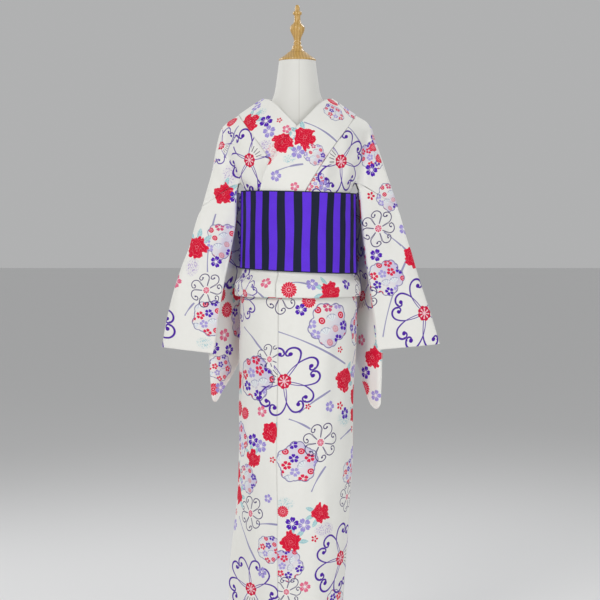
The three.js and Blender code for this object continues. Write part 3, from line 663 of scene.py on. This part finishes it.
def scrollFlower(board, colour):
    # v 0: four open heart petals and one side left open, with short stamens. Each side runs out as
    # w = 0.40 (1 - (1 - u / 0.75)^2), crossing its neighbour's at u = 0.47, goes round an arc to the notch
    # and rolls up there.
    # v 1: seven round petals side by side; each ends in a curl that winds in from its tip.
    x, y, v = board.motif("scroll")
    r, a = polar(board, x + 0.035 * (y * 3.4 + 1).math("SINE"), y + 0.035 * (x * 3.1 + 2).math("SINE"))
    r = r * (1 + 0.05 * (a * 2 + 1).math("COSINE"))
    large, little = v.below(0.5), v.above(0.5)
    u, w = sector(board, r, a, 5, pi / 5)
    line = 0.009 + 0.020 * u
    edge = u * math.tan(pi / 5)
    bow = 0.40 * (1 - (1 - u / 0.75) * (1 - u / 0.75))
    side = abs(w - (edge - abs(bow - edge))).below(line) * u.below(0.75) * u.above(0.16)
    du, dw = u - 0.75, w - 0.205
    turn = board.math("ARCTAN2", 0 - dw, du)
    lobe = abs((du * du + dw * dw) ** 0.5 - 0.195).below(line) * turn.above(-pi / 2 - 0.06) * turn.below(1.2)
    eu, ew = u - 0.79, w - 0.092
    roll = abs((eu * eu + ew * ew) ** 0.5 - 0.070).below(line) * (eu * 0.8 + ew).below(0.03)
    tip = ((u - 0.765) ** 2 + (w - 0.150) ** 2).below(0.0034, 0.0016)
    petals = side.either(lobe, roll, tip) * abs(a).below(0.82 * pi, 0.03)
    p, q = sector(board, r, a, 22, pi / 22)
    stamens = q.below(0.011) * p.above(0.27) * p.below(0.46) * abs(a).above(0.84 * pi)
    h = board.math("WRAP", a, pi / 7, -pi / 7)
    u, w = r * h.math("COSINE"), r * h.math("SINE")
    flank = abs(abs(w) - u * 0.433).below(0.017) * u.above(0.24) * u.below(0.66)
    turn = board.math("ARCTAN2", w, u - 0.70)
    lobe = abs(((u - 0.70) ** 2 + w * w) ** 0.5 - 0.30).below(0.026) * abs(turn + 0.22).below(1.52)
    eu, ew = u - 0.795, w - 0.165
    turn = board.math("ARCTAN2", ew, eu)
    curl = abs((eu * eu + ew * ew) ** 0.5 - 0.11).below(0.026) * abs(turn + 0.185).above(1.385)
    dot = (eu * eu + (ew + 0.10) ** 2).below(0.0026, 0.0012)
    heart = r.below(0.185 + 0.030 * abs((a * 4).math("COSINE")) - 0.02 * v)
    p, q = sector(board, r, a, 8, pi / 8)
    ends = q.below(0.022, 0.01) * abs(p - 0.13).below(0.022)
    star = (q.below(0.012, 0.01) * p.below(0.145)).either(r.below(0.036), ends)
    return board.layers(
        colour, (large * petals, (0.078, 0.012, 0.36)), (large * stamens, (0.035, 0.025, 0.07)),
        (little * flank.either(lobe, curl, dot), (0.045, 0.022, 0.145)),
        (heart, board.mix(v, (0.66, 0.006, 0.055), (0.74, 0.060, 0.16))), (star, (0.93, 0.62, 0.68)))


def redFlowers(board, colour):
    # v 0: a ragged peony with three leaves on one side; v 1: a round chrysanthemum
    x, y, v = board.motif("red")
    r, a = polar(board, x, y)
    u, w = sector(board, r, a, 9)
    span = 0.185 * (1 - ((u - 1.0) / 0.46) ** 2)
    leaf = w.below(span, 0.02) * abs(u - 1.0).below(0.46) * abs(a).below(1.05) * v.below(0.5)
    vein = w.below(0.014, 0.015).either(abs((u * 13 - w * 16).math("SINE")).below(0.20, 0.1))
    green = board.mix(vein, (0.36, 0.62, 0.66), (0.66, 0.82, 0.82))
    seed = board.node("CombineXYZ", {}, {0: x, 1: y, 2: v * 9})
    ragged = board.noise(0.5, 1.0, Value(board, seed.outputs[0])) - 0.5
    lobes = 0.62 + 0.22 * abs((a * 2.5 + 0.6).math("COSINE")) + 0.08 * abs((a * 7 + 0.4).math("COSINE"))
    peony = (r + ragged * 0.7).below(lobes, 0.03) * v.below(0.5)
    red = board.mix((r * 1.15).math("POWER", 3, clamp=True), (0.70, 0.004, 0.035), (0.78, 0.008, 0.05))
    wave = (r * 1.25 + ragged * 1.7 + 0.06 * (a * 5).math("SINE")) * 10
    petalLines = abs(wave.math("SINE")).below(0.10, 0.08) * r.above(0.16)
    p, q = sector(board, r, a, 7, 0.25)
    stamen = ((p - 0.12) ** 2 + q * q).below(0.0009, 0.0008)
    disc = r.below(0.86 + 0.06 * (a * 16).math("COSINE"), 0.03) * v.above(0.5)
    p, q = sector(board, r, a, 16, 0.1)
    petals = (q.below(0.016, 0.02) * r.above(0.36)).either(abs(r - 0.31).below(0.03), r.below(0.10))
    return board.layers(
        colour, (leaf, green), (peony, red), (peony * petalLines.either(stamen) * 0.62, (0.93, 0.42, 0.50)),
        (disc, (0.74, 0.008, 0.05)), (disc * petals * 0.8, (0.94, 0.58, 0.64)))


def blossomShape(board, r, a):
    # five separate petals, each a rounded wedge with a notch in its end
    u, w = sector(board, r, a, 5)
    petal = ((u - 0.60) ** 2 + (w * 1.12) ** 2).below(0.150, 0.02) * (u * 0.7265 - w).above(0.055, 0.02)
    return petal * ((u - 1.0) ** 2 + (w * 0.8) ** 2).above(0.014, 0.01), u, w


def smallFlowers(board, colour):
    # v 0, 1, 2: purple, lavender and pink blossoms; v 3: a smaller red one
    x, y, v = board.motif("small")
    r, a = polar(board, x, y)
    shape, u, w = blossomShape(board, r, a)
    blossom, red = v.below(2.5), v.above(2.5)
    purple, lavender, pink = (0.092, 0.014, 0.46), (0.36, 0.30, 0.70), (0.80, 0.16, 0.28)
    centre = r.below(0.16).either(w.below(0.020, 0.02) * u.below(0.52))
    star = ((u - 0.46) ** 2 + (w * 1.25) ** 2).below(0.062, 0.01) * (u * 0.7265 - w).above(0.05, 0.02)
    return board.layers(
        colour, (shape * blossom, board.layers(purple, (v.above(0.5), lavender), (v.above(1.5), pink))),
        (shape.either(r.below(0.3)) * centre * blossom, (0.93, 0.88, 0.92)),
        (star * red, (0.70, 0.010, 0.060)), (r.below(0.15) * red, (0.94, 0.60, 0.62)))


def roundel(board, colour):
    # a cloud of five lobes, outlined, shaded from one side, filled with blossoms, balls and fans on a
    # skewed grid; v shifts and tilts it
    x, y, v = board.motif("roundel")
    r, a = polar(board, x, y)
    edge = 0.76 + 0.17 * abs((a * 2.5 + v * 9).math("COSINE")) + 0.05 * abs((a * 7.5).math("COSINE"))
    disc = r.below(edge, 0.02)
    soft = (x * 0.7 + y * (v - 0.3) * 2 - 0.15).above(0.0, 0.9)
    ground = board.mix(soft * 0.6, (0.84, 0.83, 0.81), (0.50, 0.43, 0.74))
    gx, gy = x * 2.0 + y * 0.8 + 3 + v, y * 2.0 - x * 0.5 + 5
    cellX, cellY = gx.math("FLOOR"), gy.math("FLOOR")
    px, py = (gx - cellX - 0.5) * 2, (gy - cellY - 0.5) * 2
    seed = board.node("CombineXYZ", {}, {0: cellX, 1: cellY, 2: (v * 10).math("ROUND")})
    white = board.node("TexWhiteNoise", {}, {"Vector": Value(board, seed.outputs[0])})
    pick = Value(board, white.outputs[0])
    pr, pa = polar(board, px, py)
    shape, u, w = blossomShape(board, pr, pa + pick * 6)
    flower = disc * shape * pick.above(0.46)
    purple, lavender, red = (0.092, 0.016, 0.46), (0.42, 0.36, 0.74), (0.76, 0.02, 0.08)
    tint = board.layers(purple, (pick.above(0.72), lavender), (pick.above(0.82), red))
    ball = disc * pr.below(0.62, 0.04) * pick.below(0.26)
    fr, fa = polar(board, py + 0.62, px)
    fan = fr.below(1.30 + 0.07 * abs((fa * 6).math("COSINE")), 0.04) * abs(fa).below(0.92, 0.05)
    fan = disc * fan * pick.above(0.26) * pick.below(0.46)
    ribs = abs((fa * 6).math("SINE")).above(0.20, 0.2) * fr.below(1.22, 0.05)
    return board.layers(
        colour, (disc * 0.9, ground), (flower, tint), (flower * pr.below(0.2), (0.93, 0.80, 0.86)),
        (ball, (0.70, 0.008, 0.050)), (ball * abs(pr - 0.27).below(0.07, 0.05), (0.94, 0.45, 0.55)),
        (fan, board.mix(ribs, (0.34, 0.36, 0.52), (0.82, 0.86, 0.88))),
        (abs(r - edge).below(0.024), (0.25, 0.23, 0.42)))


def streams(board, colour):
    # one thin stroke, bent as y = -0.12 (x / 1.5)^2; v is half its width
    x, y, v = board.motif("stream")
    bent = y + 0.12 * (x / 1.5) ** 2
    stroke = abs(bent).below(v * (0.85 + 0.3 * (x * 2).math("SINE"))) * abs(x).below(1.5, 0.05)
    return board.mix(stroke * 0.9, colour, (0.27, 0.26, 0.48))


def patches(board, colour, speck):
    # loose clouds of small specks, teal, lavender or pink
    x, y, v = board.motif("patch")
    disc = (x * x + (y / 0.7) ** 2).below(0.9, 0.9)
    teal, lavender, pink = (0.42, 0.64, 0.68), (0.50, 0.40, 0.66), (0.80, 0.30, 0.40)
    tint = board.layers(teal, (v.above(0.5), lavender), (v.above(1.5), pink))
    return board.mix(disc * speck.either(0.12), colour, tint)


def cottonMaterial():
    board = Board("printed_cotton")
    plain = board.mix(board.noise(9.0, 3.0), (0.85, 0.845, 0.80), (0.88, 0.878, 0.84))
    printed = patches(board, plain, board.noise(2.6, 1.0).above(0.57, 0.05))
    for draw in (streams, roundel, scrollFlower, redFlowers, smallFlowers):
        printed = draw(board, printed)
    # the print shows through faintly on the inside
    colour = board.mix(1 - board.attribute("inside") * 0.72, plain, printed)
    return board.surface(colour, 0.88, board.noise(0.9, 1.0), 0.25, 0.0003, Specular_IOR_Level=0.25)


def beltMaterial():
    # stripes across the arc, purple and near-black, each with a fine twill; dark along both edges
    board = Board("belt_weave")
    purple = board.attribute("arc").math("PINGPONG", belt["stripe"]).below(belt["purple"], 0.4)
    twill = board.noise(1.2, 2.0)
    worn = board.noise(34.0, 3.0)
    dark = board.mix(twill, (0.006, 0.009, 0.028), (0.012, 0.017, 0.045))
    light = board.mix(twill, (0.10, 0.022, 0.68), (0.17, 0.05, 0.92))
    light = board.mix(worn.above(0.5, 0.5) * 0.4, light, (0.10, 0.018, 0.60))
    edge = abs(board.attribute("across") - 0.5).above(0.487, 0.004)
    colour = board.mix(purple * (1 - edge), dark, light)
    return board.surface(colour, 0.66, twill + purple * 0.4, 0.3, 0.0003, Specular_IOR_Level=0.2)


# The print where the photo shows it, of each kind: x and z as seen from the front, and radius. Turn in
# degrees, variant and zone follow where they are not 0.
motifs = {
    "left_front_skirt": {
        "scroll": [(-27, 729, 81, -18), (53, 590, 42, 10, 1), (96, 322, 79, 180), (112, 466, 32, 0, 1),
            (-37, 922, 40, 10, 1), (-24, 248, 34, 0, 1)],
        "roundel": [(73, 856, 54, 0, 0.1), (0, 543, 50, 30, 0.4), (-24, 308, 40, 60, 0.7),
            (116, 522, 30, 10, 0.4)],
        "red": [(105, 731, 32, 20), (-33, 431, 15, 0, 1), (-15, 362, 28, 40), (53, 428, 26, 200),
            (26, 909, 18, 0, 1), (124, 652, 20, 90)],
        "stream": [(33, 810, 68, -25), (6, 632, 18, -25, 0.5), (111, 610, 18, 20, 0.5), (46, 506, 22, 60),
            (35, 680, 33, 35), (127, 785, 12, 60)],
        "small": [(-12, 403, 17, 10), (15, 400, 17, 40, 1), (39, 369, 12, 0, 3), (73, 670, 14, 0, 1),
            (24, 670, 10, 0, 3), (107, 655, 15, 20), (8, 889, 15), (17, 259, 14, 0, 2), (96, 799, 11, 0, 3),
            (96, 672, 14, 0, 3)],
        "patch": [(-28, 450, 20), (106, 643, 24), (62, 390, 24, 0, 1)],
    },
    "left_okumi": {
        "roundel": [(-96, 735, 54, 0, 0.7), (-114, 506, 36, 20, 0.1), (-64, 345, 34, 0, 0.4)],
        "stream": [(-100, 826, 27, -39), (-66, 403, 20, 3), (-116, 371, 38, -55, 0.5)],
        "red": [(-60, 610, 27, 10), (-100, 551, 24, 100), (-118, 655, 16, 0, 1)],
        "small": [(-100, 594, 16), (-82, 580, 16, 30, 1), (-56, 549, 11, 0, 3), (-80, 659, 14, 0, 2),
            (-80, 292, 14, 0, 1), (-66, 461, 11, 0, 1)],
        "scroll": [(-105, 428, 39, 0, 1), (-107, 256, 74, 90), (-122, 914, 56, 286), (-62, 778, 34, 0, 1)],
    },
    "left_body_strip": {
        "scroll": [(100, 1224, 74, -20), (58, 1116, 50, 90), (130, 1128, 48, 66), (140, 925, 36, 0, 1)],
        "stream": [(129, 1282, 32, -42), (6, 950, 22, -10)],
        "small": [(60, 1168, 14, 0, 1), (33, 947, 15, 0, 1), (123, 1321, 11, 0, 3), (111, 947, 14),
            (26, 1166, 11, 0, 2), (172, 1272, 15), (166, 1203, 16)],
        "roundel": [(46, 1179, 20, 0, 0.4), (170, 1236, 34, 80, 0.7), (207, 1143, 34, 0, 0.1)],
        "red": [(-19, 934, 20, 0, 1), (75, 929, 29, 160), (184, 1229, 12, 0, 1), (171, 1254, 11, 0, 1)],
        "patch": [(-5, 1166, 16), (96, 1318, 22, -30, 1)],
    },
    "left_okumi_fold": {
        "scroll": [(-118, 928, 42, 56)],
        "small": [(-71, 950, 14, 0, 2)],
        "stream": [(-87, 927, 18, -35)],
    },
    "right_body_strip": {
        "scroll": [(-107, 1222, 74, 225), (-173, 1257, 44, 152)],
        "small": [(-57, 1168, 14, 0, 1), (-80, 1163, 14), (-138, 1143, 16)],
        "stream": [(-147, 1267, 27, 60)],
        "patch": [(-152, 1192, 22, 90, 1), (-52, 1226, 20, 90, 2)],
        "red": [(-166, 1150, 27, 30), (-146, 1310, 16, 0, 1)],
    },
    "collar": {
        "red": [(-109, 1308, 29, 60), (-33, 1264, 28, 10), (17, 1276, 29, 140), (-66, 1224, 11, 0, 1)],
        "small": [(-70, 1312, 17), (-63, 1289, 16, 30, 1), (1, 1242, 17, 0, 1), (-40, 1314, 10, 0, 3),
            (-48, 1190, 14, 0, 1), (-6, 1166, 11, 0, 2), (-91, 1343, 14, 0, 1), (-24, 1294, 11, 0, 2),
            (-70, 1236, 12, 0, 1)],
        "patch": [(-71, 1258, 18, 0, 1), (-56, 1246, 24, 70, 2), (62, 1226, 22, 20, 2), (-84, 1330, 18, 40),
            (-18, 1228, 14)],
        "roundel": [(39, 1238, 26, 0, 0.1), (82, 1332, 27, 40, 0.4)],
        "stream": [(55, 1292, 29, -32), (-19, 1210, 22, 15)],
    },
    "right_sleeve": {
        "red": [(-166, 1150, 27, 30), (-226, 1030, 30, 80), (-190, 709, 16, 0, 1, 3),
            (-159, 889, 20, 0, 1, 3)],
        "small": [(-138, 1143, 16), (-183, 997, 14), (-174, 713, 15, 0, 1, 3), (-154, 799, 14, 0, 0, 3),
            (-165, 832, 16, 0, 2, 3)],
        "roundel": [(-170, 1044, 43, 0, 0.1), (-197, 871, 43, 0, 0.4), (-172, 758, 32, 0, 0.4, 3)],
        "scroll": [(-204, 934, 37, 0, 1), (-320, 856, 80, 36)],
        "stream": [(-198, 1040, 44, 82), (-244, 891, 12, 53)],
        "patch": [(-210, 814, 18), (-236, 985, 20, 70, 1)],
    },
    "left_sleeve": {
        "scroll": [(183, 1073, 40, 0, 1), (150, 920, 36, 20, 1), (285, 878, 79, 195),
            (147, 921, 62, 106, 0, 3)],
        "roundel": [(199, 961, 43, 0, 0.7), (207, 1143, 34, 0, 0.1)],
        "red": [(260, 1006, 30), (170, 781, 28, 30, 0, 3), (152, 711, 19, 0, 1, 3)],
        "stream": [(226, 1040, 27, -40), (216, 926, 67, 72), (238, 1030, 10, -45)],
        "small": [(240, 1071, 14, 0, 1), (177, 1012, 15), (165, 1145, 14, 0, 3), (154, 747, 16, 0, 0, 3),
            (177, 695, 14, 0, 1, 3), (145, 821, 14, 0, 2, 3)],
    },
}


# Soft folds and creases: x0, z0, x1, z1 seen from the front, width, height (below 0 is a trough)
folds = {
    "left_front_skirt": [
        (40, 960, -10, 700, 14, 2.6), (96, 900, 84, 560, 16, 3.2), (70, 880, 58, 620, 13, -1.5),
        (-20, 640, -42, 330, 17, 2.6), (30, 560, 8, 250, 20, 2.9), (78, 520, 66, 130, 18, 3.2),
        (52, 470, 40, 90, 15, -1.8), (100, 700, 92, 300, 12, 2.2), (0, 330, -14, 80, 16, 2.4)],
    "left_okumi": [
        (-96, 900, -110, 600, 14, 2.9), (-70, 860, -92, 520, 15, 2.4), (-84, 560, -112, 260, 16, -1.8),
        (-64, 480, -96, 140, 17, 2.9), (-118, 420, -138, 100, 12, 2.4)],
    "left_back_skirt": [
        (60, 900, 70, 380, 20, 3.5), (20, 820, 28, 200, 22, -2.0), (96, 700, 96, 160, 16, 3.2)],
    "right_back_skirt": [
        (-50, 900, -62, 340, 20, 3.5), (-18, 760, -24, 180, 22, -2.0), (-90, 640, -94, 150, 16, 3.2)],
}
frontFolds = {
    -1: [
        (-118, 1300, -108, 1176, 13, 4.8), (-96, 1262, -78, 1172, 12, -3.2),
        (-152, 1286, -126, 1190, 12, -4.1), (-70, 1230, -56, 1168, 10, 3.3),
        (-134, 1240, -98, 1166, 11, 3.9), (-168, 1262, -150, 1160, 11, 3.6),
        (-44, 1196, -24, 1165, 9, 2.4)],
    1: [
        (118, 1298, 112, 1176, 13, 4.5), (92, 1250, 82, 1172, 12, -3.0), (152, 1284, 130, 1188, 12, -4.1),
        (72, 1226, 62, 1168, 10, 3.3), (136, 1236, 102, 1166, 11, 3.9), (172, 1262, 156, 1160, 11, 3.6),
        (40, 1196, 30, 1165, 9, -1.9)],
}
backFolds = {
    -1: [
        (-112, 1290, -96, 1170, 14, 4.2), (-80, 1270, -64, 1172, 14, -2.9),
        (-146, 1270, -124, 1180, 13, -3.4), (-30, 1270, -26, 1168, 16, 2.2)],
    1: [
        (112, 1290, 98, 1170, 14, 4.2), (78, 1268, 66, 1172, 14, -2.9), (148, 1268, 128, 1180, 13, -3.4),
        (34, 1266, 28, 1168, 16, 2.2)],
}
waistFolds = {
    -1: [
        (-100, 962, -40, 934, 8, 2.2), (-128, 950, -90, 930, 7, 2.2)],
    1: [
        (-20, 962, 60, 948, 7, 2.1), (40, 938, 118, 955, 8, 2.5), (96, 968, 134, 946, 6, -1.4),
        (10, 930, 70, 936, 7, 1.7)],
}
sleeveFolds = {
    -1: [
        (-196, 1130, -214, 980, 13, 4.2), (-168, 1150, -186, 900, 15, -3.6),
        (-150, 1120, -160, 930, 12, 4.2), (-236, 1030, -262, 850, 16, 4.2),
        (-206, 990, -232, 810, 16, -3.3), (-180, 960, -196, 810, 12, 3.2)],
    1: [
        (200, 1130, 224, 970, 13, 4.2), (170, 1150, 190, 900, 15, -3.6), (154, 1120, 162, 930, 12, 4.2),
        (246, 1030, 276, 850, 16, 4.2), (212, 990, 240, 815, 16, -3.3), (180, 960, 194, 815, 12, 3.2)],
}
flapFolds = {
    -1: [(-150, 950, -172, 740, 11, 1.6), (-138, 900, -150, 780, 9, -1.1)],
    1: [(146, 950, 158, 720, 11, 1.6), (160, 900, 176, 740, 9, -1.1)],
}


def dress(name, grid, here, towards, zones=None, closed=False, creases=(), wall=None,
          keepFront=True, measures={}, slot="cotton"):
    # creases: (zone, lines); the cloth moves out along its normals, then gets its wall and its print
    zones = np.zeros(grid.shape[:2], int) if zones is None else zones
    out = normals(grid, closed, here, towards)
    for zone, lines in creases:
        grid = grid + out * (relief(grid, lines) * (zones == zone))[..., None]
    out = normals(grid, closed, here, towards)
    marks = None
    if slot == "cotton":
        marks = place(grid, out, zones, motifs.get(name, {}))
        if name == "left_okumi":
            marks = marks + [m for m in shared if m["radius"] > 70 or m["at"][0] < -35]
        if name == "left_front_skirt":
            shared.extend(marks)
        # the front is left to the list of places, except below the photo's edge
        bare = (out[..., 1] > -0.3) | (zones != onFront) | (grid[..., 2] < photoFoot) | (not keepFront)
        marks = scatter(grid, out, zones, marks, bare)
    thing = shell(name, grid, out, wall or cut["wall"], closed, zones, marks, measures)
    thing.data.materials.append(cloths[slot])
    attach(thing, "root")
    built = sum(face.area for face in thing.data.polygons) / 2
    print("cloth", name, len(thing.data.polygons) * 2, "triangles,", round(built, 3), "square metres")


photoFoot = 225  # height of the photo's lower edge on the skirt
cloths = {"cotton": cottonMaterial(), "belt": beltMaterial()}
shared = []

# Skirt
for name in ("left_front_skirt", "left_okumi", "left_back_skirt", "right_back_skirt", "right_front_skirt",
             "right_okumi"):
    first, last = panels[name]
    grid = skirtGrid(first, last)
    middle = grid[100, 29] * (1, 1, 0)
    creases = [(onFront, folds[name])] if name in folds else []
    dress(name, grid, (100, 29), unit(middle), creases=creases,
          keepFront=name in ("left_front_skirt", "left_okumi"))

# Upper stretches of the body strips, with the waist fold and the belt's hidden part
tuckedRows = 8  # rows of the waist fold that lie up inside it
for side, name, flat, area in ((-1, "right_body_strip", (0.30, 0.74), 0.195),
                               (1, "left_body_strip", (0.30, 0.98), 0.24)):
    grid = bodiceGrid(side)
    rowCount = len(grid)
    ringsBack = len(foldRows())
    ringsFront = ringsBack if side > 0 else 1
    zones = np.zeros(grid.shape[:2], int)
    zones[rowCount - ringsBack - len(beltRings) - len(chestSteps) - 1:] = onBack
    zones[rowCount - ringsBack:] = onFlap
    zones[rowCount - tuckedRows:] = unseen
    creases = [(onFront, frontFolds[side]), (onBack, backFolds[side])]
    if side > 0:
        zones[:tuckedRows] = unseen
        creases.append((onFront, waistFolds[1]))
    here = (ringsFront + 20, 36)
    dress(name, grid, here, unit(grid[here] * (1, 1, 0)), zones=zones, creases=creases)

grid = okumiFoldGrid()
zones = np.zeros(grid.shape[:2], int)
zones[:tuckedRows] = unseen
dress("left_okumi_fold", grid, (20, 20), unit(grid[20, 20] * (1, 1, 0)), zones=zones,
      creases=[(onFront, waistFolds[-1])])

# Collar
grid = collarGrid()
grid = grid + normals(grid, False, (20, 12), (0, -1, 0)) * cut["collarOut"]
dress("collar", grid, (20, 12), (0, -1, 0), wall=cut["collarWall"])

# Sleeves
layer = np.repeat([onFront, unseen, onFlap], [45, 32, 32])
zoneLoop = np.concatenate([layer, np.where(layer == onFront, onBack, layer + 2)[:0:-1]])
for side, name in ((-1, "right_sleeve"), (1, "left_sleeve")):
    grid = sleeveGrid(side)
    zones = np.broadcast_to(zoneLoop, grid.shape[:2])
    creases = [(onFront, sleeveFolds[side]), (onBack, sleeveFolds[side]), (onFlap, flapFolds[side])]
    dress(name, grid, (48, 20), (0, -1, 0), zones=zones, closed=True, creases=creases)

# Belt: stripes run by the length wound, from the middle of a purple one, lean on the left side and waver
grid = beltGrid()
middle = grid[27]
wound = np.concatenate([[0], np.cumsum(np.linalg.norm(np.diff(middle, axis=0), axis=1))])
front = np.abs(middle[:, 0] - belt["purpleAt"] + 1e3 * (middle[:, 1] > 0)).argmin()
wound = wound - wound[front] + belt["stripe"] * 40
lowness = (belt["high"] - belt["highTilt"] - grid[..., 2]) / (belt["high"] - belt["low"])
arc = (wound + belt["lean"] * lowness * smooth((grid[..., 0] + 40) / 130)
       + belt["waver"] * np.sin(7 * lowness + wound / 23))
wrinkles = [
    (-121, 985, -123, 1150, 2.6, -1.0), (-113, 990, -115, 1146, 3.2, 0.9), (-101, 1040, -99, 1140, 4, 0.6),
    (109, 990, 113, 1146, 3.2, 0.9), (117, 985, 120, 1150, 2.6, -1.0), (98, 1000, 102, 1100, 4, 0.5),
    (-70, 1147, 40, 1149, 5, 0.5), (-60, 984, 70, 982, 6, 0.6)]
across = 0 * arc + np.linspace(0, 1, len(grid))[:, None]
dress("belt", grid, (27, 115), (0, -1, 0), wall=belt["wall"], creases=[(onFront, wrinkles)],
      measures={"arc": arc, "across": across}, slot="belt")


# The form and its stand: smooth lofts and turned pieces
def solidOf(name, rings, material):
    rows, columns = rings.shape[:2]
    points = np.concatenate([rings.reshape(-1, 3), [rings[0].mean(0), rings[-1].mean(0)]]) / 1000
    faces = [(i * columns + j, i * columns + (j + 1) % columns, (i + 1) * columns + (j + 1) % columns,
              (i + 1) * columns + j) for i in range(rows - 1) for j in range(columns)]
    low, high, top = rows * columns, rows * columns + 1, (rows - 1) * columns
    faces += [(low, (j + 1) % columns, j) for j in range(columns)]
    faces += [(high, top + j, top + (j + 1) % columns) for j in range(columns)]
    data = bpy.data.meshes.new(name)
    data.from_pydata(points.tolist(), [], faces)
    data.update()
    thing = linked(name + "_shape", data)
    data.shade_smooth()
    data.set_sharp_from_angle(angle=math.radians(38))
    data.materials.append(material)
    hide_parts(name)
    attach(thing, "root")


def turnedRings(profile, count):
    a = np.linspace(0, 2 * pi, count, endpoint=False)
    sized = [(max(r, 0.05), z) for r, z in profile]
    return np.array([stack(r * np.sin(a), -r * np.cos(a), z) for r, z in sized])


form = {"foot": 815, "top": 1446, "capTop": 1465, "pole": 15, "standTop": 18, "gap": 0.3, "seamX": 4}
board = Board("form_cover")
weave = board.noise(0.7, 1.0)
acrossX = Value(board, board.node("SeparateXYZ", {}, {0: board.position()}).outputs[0])
seam = abs(acrossX - form["seamX"]).below(0.7, 0.8)
cover = board.mix(board.noise(60.0), (0.76, 0.755, 0.715), (0.80, 0.795, 0.755))
cover = board.mix(seam * 0.5, cover, (0.52, 0.50, 0.44))
white = board.surface(cover, 0.7, weave - seam * 0.8, 0.16, 0.0002)
board = Board("turned_wood")
rings = board.node("TexWave", {"wave_type": "BANDS", "bands_direction": "X"}, {
    "Vector": board.position(), "Scale": 0.05, "Distortion": 6.0, "Detail": 3.0, "Detail Scale": 0.4})
grain = Value(board, rings.outputs["Fac"])
gold = board.surface(board.mix(grain, (0.52, 0.30, 0.075), (0.66, 0.42, 0.13)), 0.34, grain, 0.08, 0.0002,
                     Coat_Weight=0.4)
board = Board("brushed_steel")
steel = board.mix(board.noise(3.0), (0.56, 0.57, 0.58), (0.66, 0.67, 0.68))
steel = board.surface(steel, 0.34, Metallic=1.0)
board = Board("foot_paint")
paint = board.surface(board.mix(board.noise(40.0), (0.79, 0.78, 0.75), (0.82, 0.81, 0.78)), 0.45)

a = np.linspace(0, 2 * pi, 120, endpoint=False)[None, :]
z = np.concatenate([np.linspace(form["foot"], 985, 18), np.linspace(995, 1082, 40),
                    np.linspace(1086, form["top"], 130)])[:, None]
section = rowAt(formSections, "z", z)
x, y = section["centre"] + section["width"] * np.sin(a), -section["depth"] * np.cos(a)
solidOf("form_body", stack(x, y, z), white)

capFoot = form["top"] + form["gap"]
profile = [(r, capFoot + rise) for r, rise in (
    (40.6, 0), (41.3, 0.7), (41.5, 2), (41.3, 3.4), (40.4, 4.6), (38.5, 5.6), (34, 8.6), (29, 12),
    (24.5, 15.6))]
solidOf("form_neck_cap", turnedRings(profile + [(21, form["capTop"])], 72), gold)

finial = table(
    "h r", (0, 20), (2, 17), (8, 12.5), (14, 11), (16.5, 8.5), (19, 8.5), (22, 8.8), (24.5, 7.4), (32, 8.6),
    (42, 13.2), (50, 16.2), (55, 16.6), (60, 14), (66, 8.6), (74, 6.8), (82, 6.8), (84, 9.6), (87, 10.2),
    (90, 9.6), (92, 5.6), (98, 5.4), (103, 4.4), (105.5, 2.4), (106, 0))
steps = np.concatenate([np.linspace(0, 105.5, 120), [105.8, 106]])
profile = [(float(along(finial, "h", h, "r")), form["capTop"] + form["gap"] + h) for h in steps]
solidOf("form_finial", turnedRings(profile, 56), gold)

r, low, high = form["pole"], form["standTop"] + form["gap"], form["foot"] - form["gap"]
profile = [(r - 0.6, low), (r, low + 0.6), (r, high - 0.6), (r - 0.6, high)]
solidOf("form_pole", turnedRings(profile, 48), steel)
profile = [(163.5, 0), (165, 1.5), (165, 13), (164.2, 15.2), (161.5, 16.8), (157, 17.6),
           (153, form["standTop"])]
solidOf("form_foot", turnedRings(profile, 96), paint)
print("form and stand done")

# Plain floor, soft lights, camera
data = bpy.data.meshes.new("floor")
half, drop = 40, -0.0004
data.from_pydata([(-half, -half, drop), (half, -half, drop), (half, half, drop), (-half, half, drop)], [],
                 [(0, 1, 2, 3)])
data.materials.append(Board("floor_paper").surface((0.80, 0.80, 0.80), 0.9))
linked("floor", data)

bpy.context.scene.view_settings.view_transform = "Standard"
world = bpy.data.worlds.new("studio")
world.use_nodes = True
sky = world.node_tree.nodes["Background"].inputs
sky["Color"].default_value = (0.84, 0.845, 0.85, 1)
sky["Strength"].default_value = 0.52
bpy.context.scene.world = world
for name, at, aim, size, watts in (
        ("key", (-1.7, -3.2, 2.6), (0, 0, 1.0), 1.0, 47), ("fill", (2.0, -3.2, 1.4), (0, 0, 0.9), 2.0, 29),
        ("rim", (1.6, 1.7, 2.9), (0, 0, 1.1), 1.4, 26), ("rimLeft", (-1.9, 1.4, 2.2), (0, 0, 1.0), 1.4, 20)):
    lamp = bpy.data.lights.new(name, "AREA")
    lamp.shape = "DISK"
    lamp.size = size
    lamp.energy = watts
    lamp.color = (1.0, 0.985, 0.96) if name == "key" else (0.98, 0.99, 1.0)
    holder = linked(name, lamp)
    holder.location = at
    holder.rotation_euler = (Vector(aim) - Vector(at)).to_track_quat("-Z", "Y").to_euler()

lens = bpy.data.cameras.new("camera")
lens.lens = 93.3
lens.sensor_width = 36
eye = linked("camera", lens)
eye.location = camera / 1000
eye.rotation_euler = (Vector((0.006, 0, 0.911)) - Vector(camera / 1000)).to_track_quat("-Z", "Y").to_euler()
bpy.context.scene.camera = eye
